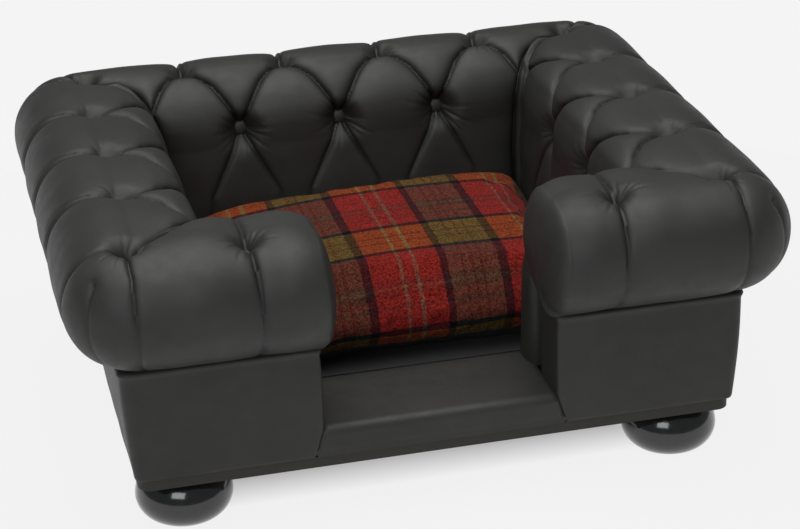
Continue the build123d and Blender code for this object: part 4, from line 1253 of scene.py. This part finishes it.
def button_patch(centre, facing, seed):
    """A leather covered button at a place, facing a direction."""
    draw = np.random.default_rng(seed)
    profile = np.array(DOME)
    turn = np.linspace(0, 2 * math.pi, 41)
    waves = draw.uniform(0, 2 * math.pi, 3)
    ridge = sum(np.sin(turn * k + w) for k, w in zip(RIDGES, waves)) / 3
    ridge[-1] = ridge[0]
    rim = np.clip((profile[:, 0] - 4.0) / 5.5, 0, 1)[:, None] * ridge[None] * RIDGE_HEIGHT
    r = profile[:, 0][:, None] + rim
    z = np.repeat(profile[:, 1][:, None], len(turn), 1)
    flat = np.stack([r * np.cos(turn), r * np.sin(turn), z], -1)
    rotation = np.array(Vector(facing).normalized().to_track_quat("Z", "Y").to_matrix())
    return flat @ rotation.T + centre, grid_triangles(*flat.shape[:2])


for name, chosen in (
    ("back_buttons", pits[:7]),
    ("left_arm_buttons", pits[7:10] + pits[13:15]),
    ("right_arm_buttons", pits[10:13] + pits[15:17]),
    ("front_left_button", pits[17:18]),
    ("front_right_button", pits[18:19]),
    ("corner_buttons", pits[19:]),
):
    patches = []
    for n, pit in enumerate(chosen):
        sunken = VALLEY + FOLD + pit.depth - (LOW_SEAT if pit.low else TOP_SEAT)
        patches.append(button_patch(pit.centre - pit.normal * sunken, pit.normal, 200 + n))
    leather_on_bed(mesh_piece(name + "_leather", patches, LEATHER), name)

# %% [markdown]
# The cushion cover is a woollen tartan. A tartan is two sets of stripes woven across each other,
# so its colour is half the warp's and half the weft's, swapped thread by thread. The cloth's own
# coordinates are stored as a UV map in metres, and both sets of stripes are colour ramps over it.
# The stripe lists give where in one repeat, from 0 to 1, each colour starts.

# %% Tartan stripes
RED, DEEP_RED, DULL = (0.170, 0.0125, 0.0095), (0.100, 0.012, 0.009), (0.036, 0.040, 0.022)
BROWN, OCHRE, RUST = (0.030, 0.016, 0.010), (0.180, 0.066, 0.0065), (0.100, 0.028, 0.006)
NAVY, PALE, FAINT = (0.002, 0.003, 0.006), (0.115, 0.098, 0.060), (0.110, 0.034, 0.018)
WARP_REPEAT, WEFT_REPEAT = 0.152, 0.172
WARP_START, WEFT_START = -0.043, -0.070
WARP = (
    (0.0, NAVY), (0.053, RED), (0.263, PALE), (0.289, RED), (0.368, PALE), (0.395, RED),
    (0.566, NAVY), (0.618, DULL), (0.715, BROWN), (0.735, DULL), (0.785, BROWN),
    (0.805, DULL), (0.855, BROWN), (0.875, DULL), (0.985, NAVY),
)
WEFT = (
    (0.0, NAVY), (0.038, OCHRE), (0.15, RUST), (0.17, OCHRE), (0.235, RUST), (0.255, OCHRE),
    (0.378, NAVY), (0.418, RED), (0.535, DEEP_RED), (0.56, RED), (0.63, DEEP_RED),
    (0.68, FAINT), (0.70, DEEP_RED), (0.75, RED),
)
WOOLLY_EDGE = 0.030

TARTAN, tree, surface, place = new_material("woollen_tartan")
cloth = add_node(tree, "ShaderNodeUVMap", uv_map="weave").outputs[0]
split = add_node(tree, "ShaderNodeSeparateXYZ", {0: cloth})
fuzz = noise(tree, place, 420.0, 3.0, 0.7)


def stripes(coordinate, repeat, start, stops):
    """Constant stripes that repeat along one direction of the cloth, with a woolly edge."""
    turns = math_step(tree, "DIVIDE", math_step(tree, "SUBTRACT", coordinate, start), repeat)
    woolly = math_step(tree, "MULTIPLY", math_step(tree, "SUBTRACT", fuzz, 0.5), WOOLLY_EDGE)
    around = math_step(tree, "FRACT", math_step(tree, "ADD", turns, woolly))
    return ramp(tree, stops, around, "CONSTANT")


warp = stripes(split.outputs[0], WARP_REPEAT, WARP_START, WARP)
weft = stripes(split.outputs[1], WEFT_REPEAT, WEFT_START, WEFT)
print("tartan repeats every", WARP_REPEAT * 1000, "by", WEFT_REPEAT * 1000, "mm")

# %% [markdown]
# A twill steps one thread sideways in every row, which shows as fine slanting ribs. A wave texture
# turned by 45 degrees picks the thread on top, and its height gives the cloth its relief, with
# loose fibres as noise over it. Yarns also shade each other, so a dark stripe stays dark where it
# crosses a bright one: the root of the two colours' product is mixed in for that.

# %% Twill and wool
THREAD = 0.0016
WAVE_AT_SCALE_ONE = 0.31416
SHADED_YARN = 0.65
DARK_FIBRE, BRIGHT_FIBRE = (0.22, 0.24, 0.26), (1.70, 1.70, 1.70)

slant = {0: cloth, "Rotation": (0.0, 0.0, math.radians(45))}
turned = add_node(tree, "ShaderNodeMapping", slant).outputs[0]
ribs = {"Scale": WAVE_AT_SCALE_ONE / THREAD, "Distortion": 1.5, "Detail": 2.0, "Detail Scale": 2.0}
twill = add_node(tree, "ShaderNodeTexWave", {"Vector": turned, **ribs}).outputs["Fac"]
on_top = add_node(tree, "ShaderNodeMapRange", {0: twill, "To Min": 0.28, "To Max": 0.72})
over = mixed(tree, on_top.outputs[0], warp, weft)
crossed = mixed(tree, 1.0, warp, weft, "MULTIPLY")
rooted = add_node(tree, "ShaderNodeGamma", {"Color": crossed, "Gamma": 0.5}).outputs[0]
yarns = mixed(tree, SHADED_YARN, over, rooted)
fibres = noise(tree, place, 430.0, 4.0, 0.85)
mottle = ramp(tree, [(0.38, DARK_FIBRE), (0.62, BRIGHT_FIBRE)], fibres)
wool = {
    "Base Color": mixed(tree, 1.0, yarns, mottle, "MULTIPLY"),
    "Roughness": 0.95,
    "Specular IOR Level": 0.05,
    "Sheen Weight": 0.03,
    "Sheen Roughness": 0.5,
}
plug(tree, surface, wool)
rib = bump(tree, surface, twill, 0.0006, 0.5)
bump(tree, surface, fibres, 0.0010, 0.6, rib)
print("one rib of the twill is", THREAD * 1000, "mm wide")

# %% [markdown]
# The cushion is a fat foam pad in a cloth cover. It starts as an evenly gridded rounded box, a
# little smaller than the pad. A short cloth simulation with air pressure inside gives the cover the
# crowned faces and the slack that sewn cloth has, and a cap on how far a point may move keeps it
# inside the bed.

# %% The cushion's cover
CUSHION_X, CUSHION_FRONT, CUSHION_BACK = 207.0, -137.0, 179.0
CUSHION_LOW, CUSHION_SEAM, CUSHION_TOP = 100.4, 111.0, 190.0
CUSHION_ROUND = 20.0
CUSHION_CELLS = (68, 46, 14)
SHRINK = 5.0
CAP = 0.012
CLOTH = {
    "quality": 6,
    "mass": 0.35,
    "tension_stiffness": 18.0,
    "compression_stiffness": 18.0,
    "shear_stiffness": 8.0,
    "bending_stiffness": 1.2,
    "use_pressure": True,
    "uniform_pressure_force": 3.2,
}
CLOTH_FRAMES = 20

size = np.array([2 * CUSHION_X, CUSHION_BACK - CUSHION_FRONT, CUSHION_TOP - CUSHION_LOW - 4.0])
centre = np.array([0.0, (CUSHION_BACK + CUSHION_FRONT) / 2, CUSHION_LOW + size[2] / 2])
smaller = size - 2 * SHRINK * np.array([1, 1, 0.4])
patches = rounded_box(smaller, CUSHION_ROUND, CUSHION_CELLS)
cushion = mesh_piece("tartan_cushion", patches, TARTAN)
cushion.data.transform(Matrix.Translation(Vector(centre * MM)))
rest = np.array([v.co for v in cushion.data.vertices])


def simulate_cushion():
    """Inflate the cover for a few frames and keep its shape."""
    cloth_modifier = cushion.modifiers.new("cloth", "CLOTH")
    for key, value in CLOTH.items():
        setattr(cloth_modifier.settings, key, value)
    cloth_modifier.settings.effector_weights.gravity = 0.0
    for number in range(1, CLOTH_FRAMES + 1):
        scene.frame_set(number)
    settled = cushion.evaluated_get(bpy.context.evaluated_depsgraph_get())
    moved = np.array([v.co for v in settled.data.vertices]) - rest
    cushion.modifiers.remove(cloth_modifier)
    scene.frame_set(1)
    far = np.linalg.norm(moved, axis=1, keepdims=True)
    return rest + moved * np.minimum(1.0, CAP / np.maximum(far, 1e-9))


shape = simulate_cushion()
print("cushion cover has", len(shape), "points")

# %% [markdown]
# A cushion that is slept on is highest a little to the right of its middle and slopes down to both
# sides, more to the left, while its back edge stays up against the wall. That form is added to the
# upper part of the cover, and nothing may sink through the deck.

# %% The cushion's crown
CROWN, CROWN_HALF, CROWN_Y, CROWN_X = 0.006, 0.155, 0.02, 0.04
SLOPE_LEFT, SLOPE_RIGHT, SLOPE_RUN = 0.0082, 0.0052, 0.15
STEEP_BEHIND, GENTLE_IN_FRONT = 7.0, 2.5
RISE_START, RISE_RUN = 0.12, 0.05

aside = (shape[:, 0] - CROWN_X) / SLOPE_RUN
behind = shape[:, 1] - CROWN_Y
power = np.where(behind > 0, STEEP_BEHIND, GENTLE_IN_FRONT)
crown = CROWN * (1 - np.clip(np.abs(behind) / CROWN_HALF, 0, 1) ** power)
slope = np.where(aside < 0, SLOPE_LEFT, SLOPE_RIGHT) * aside**2
shape[:, 2] += rise(shape[:, 2], RISE_START, RISE_RUN) * (crown - slope)
shape[:, 2] = np.maximum(shape[:, 2], CUSHION_LOW * MM)
cushion.data.vertices.foreach_set("co", shape.astype(np.float32).ravel())
cushion.data.update()
print("cushion is", np.round((shape.max(0) - shape.min(0)) * 1000), "mm")

# %% [markdown]
# The cloth's coordinates run from the middle of the top and over the edges, as the cloth does: the
# distance along X one way and along Y the other. On the front, the stripes run on downwards. The
# lower band of the cover is a plain black cloth, cut from the same mesh.

# %% Cloth coordinates and the black base
mesh = cushion.data
mesh.materials.append(BLACK_CLOTH)
layer = mesh.uv_layers.new(name="weave")
EDGE_START = CUSHION_TOP * MM - 0.008
for polygon in mesh.polygons:
    corners = [rest[v] for v in polygon.vertices]
    out = np.abs((np.mean(corners, 0) - centre * MM) / (size * MM / 2))
    for loop in polygon.loop_indices:
        x, y, z = rest[mesh.loops[loop].vertex_index]
        if out[1] >= out[0] and y < centre[1] * MM:
            y = y - max(0.0, EDGE_START - z) * min(1.0, max(0.0, out[1] * 4 - 3))
        layer.data[loop].uv = (x, y)
    if all(corner[2] < CUSHION_SEAM * MM for corner in corners):
        polygon.material_index = 1
finer = cushion.modifiers.new("finer", "SUBSURF")
finer.levels = finer.render_levels = 1
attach(cushion, "cushion")
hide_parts("cushion_cover", "cushion_core", "cushion_base", "cushion_zip")
print("black faces:", sum(polygon.material_index for polygon in mesh.polygons))

# %% [markdown]
# The frame's own parts keep their shapes and get their finishes: painted board, birch plywood,
# softwood, plated steel and lacquer on the feet. Most of them are hidden, but the edge of the board
# shows under the leather, and a part that comes into view in another pose must look right too.

# %% Finishes of the frame
FINISHES = {
    "base_board": BOARD_PAINT,
    "deck_board": PLYWOOD,
    "deck_lining": LINING,
    "corner_blocks": SOFTWOOD,
    "deck_battens": SOFTWOOD,
    "step_block": SOFTWOOD,
    "foot_bolts": STEEL,
    "tee_nuts": STEEL,
}
finished = []
for name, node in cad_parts.items():
    finish = FINISHES.get(name)
    if name.endswith(("_wall", "jamb_board")):
        finish = PLYWOOD
    elif name.endswith("_rail"):
        finish = SOFTWOOD
    elif name.startswith("foot_") and name != "foot_bolts":
        finish = LACQUER
    if finish is not None:
        node.data.materials.clear()
        node.data.materials.append(finish)
        finished.append(name)
print("finished", len(finished), "of", len(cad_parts), "frame parts")

# %% [markdown]
# The bed stands in a plain white studio. The floor is white to the camera and in reflections, but
# it still darkens where the bed shades it. For that it is a mix of a painted floor, which takes
# shadows, and a glowing one, which doesn't. The mix follows the distance from the bed's sides, so
# that the shadow is there under and beside the bed and fades out into white.

# %% The floor
WHITE = (0.90, 0.905, 0.90, 1.0)
BED_HALF = (0.32, 0.26, 0.0)
UNDER_BED, BESIDE_BED = -0.15, -0.045
GLOW_UNDER, GLOW_BESIDE = 0.08, 0.95
FADE_START, FADE_END = 0.45, 0.90
FLOOR_HALF = 12.0

floor_material, tree, surface, place = new_material("white_floor")
tree.nodes.remove(surface)
paint = add_node(tree, "ShaderNodeBsdfDiffuse", {"Color": (0.80, 0.80, 0.80, 1.0)})
glow = add_node(tree, "ShaderNodeEmission", {"Color": WHITE, "Strength": 1.0})
rays = add_node(tree, "ShaderNodeLightPath").outputs
seen = math_step(tree, "MAXIMUM", rays["Is Camera Ray"], rays["Is Glossy Ray"])
distance = add_node(tree, "ShaderNodeVectorMath", {0: place}, operation="LENGTH")
fade = spread(tree, distance.outputs["Value"], 0.0, 1.0, FADE_START, FADE_END)
mirrored = add_node(tree, "ShaderNodeVectorMath", {0: place}, operation="ABSOLUTE").outputs[0]
past = {0: mirrored, 1: BED_HALF}
beside = add_node(tree, "ShaderNodeVectorMath", past, operation="SUBTRACT").outputs[0]
sides = add_node(tree, "ShaderNodeSeparateXYZ", {0: beside}).outputs
outside = math_step(tree, "MAXIMUM", sides[0], sides[1])
close = spread(tree, outside, GLOW_UNDER, GLOW_BESIDE, UNDER_BED, BESIDE_BED)
amount = math_step(tree, "MULTIPLY", seen, math_step(tree, "MAXIMUM", close, fade))
shaders = {0: amount, 1: paint.outputs[0], 2: glow.outputs[0]}
blend = add_node(tree, "ShaderNodeMixShader", shaders)
plug(tree, tree.nodes["Material Output"], {"Surface": blend.outputs[0]})

floor_mesh = bpy.data.meshes.new("floor")
square = [(x * FLOOR_HALF, y * FLOOR_HALF, 0) for x, y in ((-1, -1), (1, -1), (1, 1), (-1, 1))]
floor_mesh.from_pydata(square, [], [(0, 1, 2, 3)])
floor_mesh.materials.append(floor_material)
floor = bpy.data.objects.new("floor", floor_mesh)
scene.collection.objects.link(floor)
print("floor is", 2 * FLOOR_HALF, "metres square")

# %% [markdown]
# The world is white where the camera sees it and much dimmer as a light, because black leather only
# shows its folds when the light comes mostly from one side. One wide soft lamp hangs above and
# slightly to the left, and a weaker one fills from the front.

# %% World and lamps
world = bpy.data.worlds.new("studio")
world.use_nodes = True
scene.world = world
tree = world.node_tree
tree.nodes.clear()
output = add_node(tree, "ShaderNodeOutputWorld")
white = add_node(tree, "ShaderNodeBackground", {"Color": WHITE, "Strength": 1.0})
dim = add_node(tree, "ShaderNodeBackground", {"Color": (0.92, 0.96, 1.0, 1.0), "Strength": 0.21})
rays = add_node(tree, "ShaderNodeLightPath").outputs
shaders = {0: rays["Is Camera Ray"], 1: dim.outputs[0], 2: white.outputs[0]}
blend = add_node(tree, "ShaderNodeMixShader", shaders)
plug(tree, output, {"Surface": blend.outputs[0]})


def soft_light(name, place, size, power, colour):
    """A square area light that faces the bed."""
    data = bpy.data.lights.new(name, "AREA")
    data.shape = "RECTANGLE"
    data.size, data.size_y = size
    data.energy = power
    data.color = colour
    light = bpy.data.objects.new(name, data)
    light.location = place
    direction = Vector((0.0, 0.0, 0.2)) - Vector(place)
    light.rotation_euler = direction.to_track_quat("-Z", "Y").to_euler()
    scene.collection.objects.link(light)


soft_light("overhead", (-0.1, -0.1, 2.2), (2.6, 2.2), 54.0, (1.0, 0.985, 0.95))
soft_light("front_fill", (-1.2, -2.4, 1.6), (1.4, 1.0), 18.0, (0.96, 0.98, 1.0))
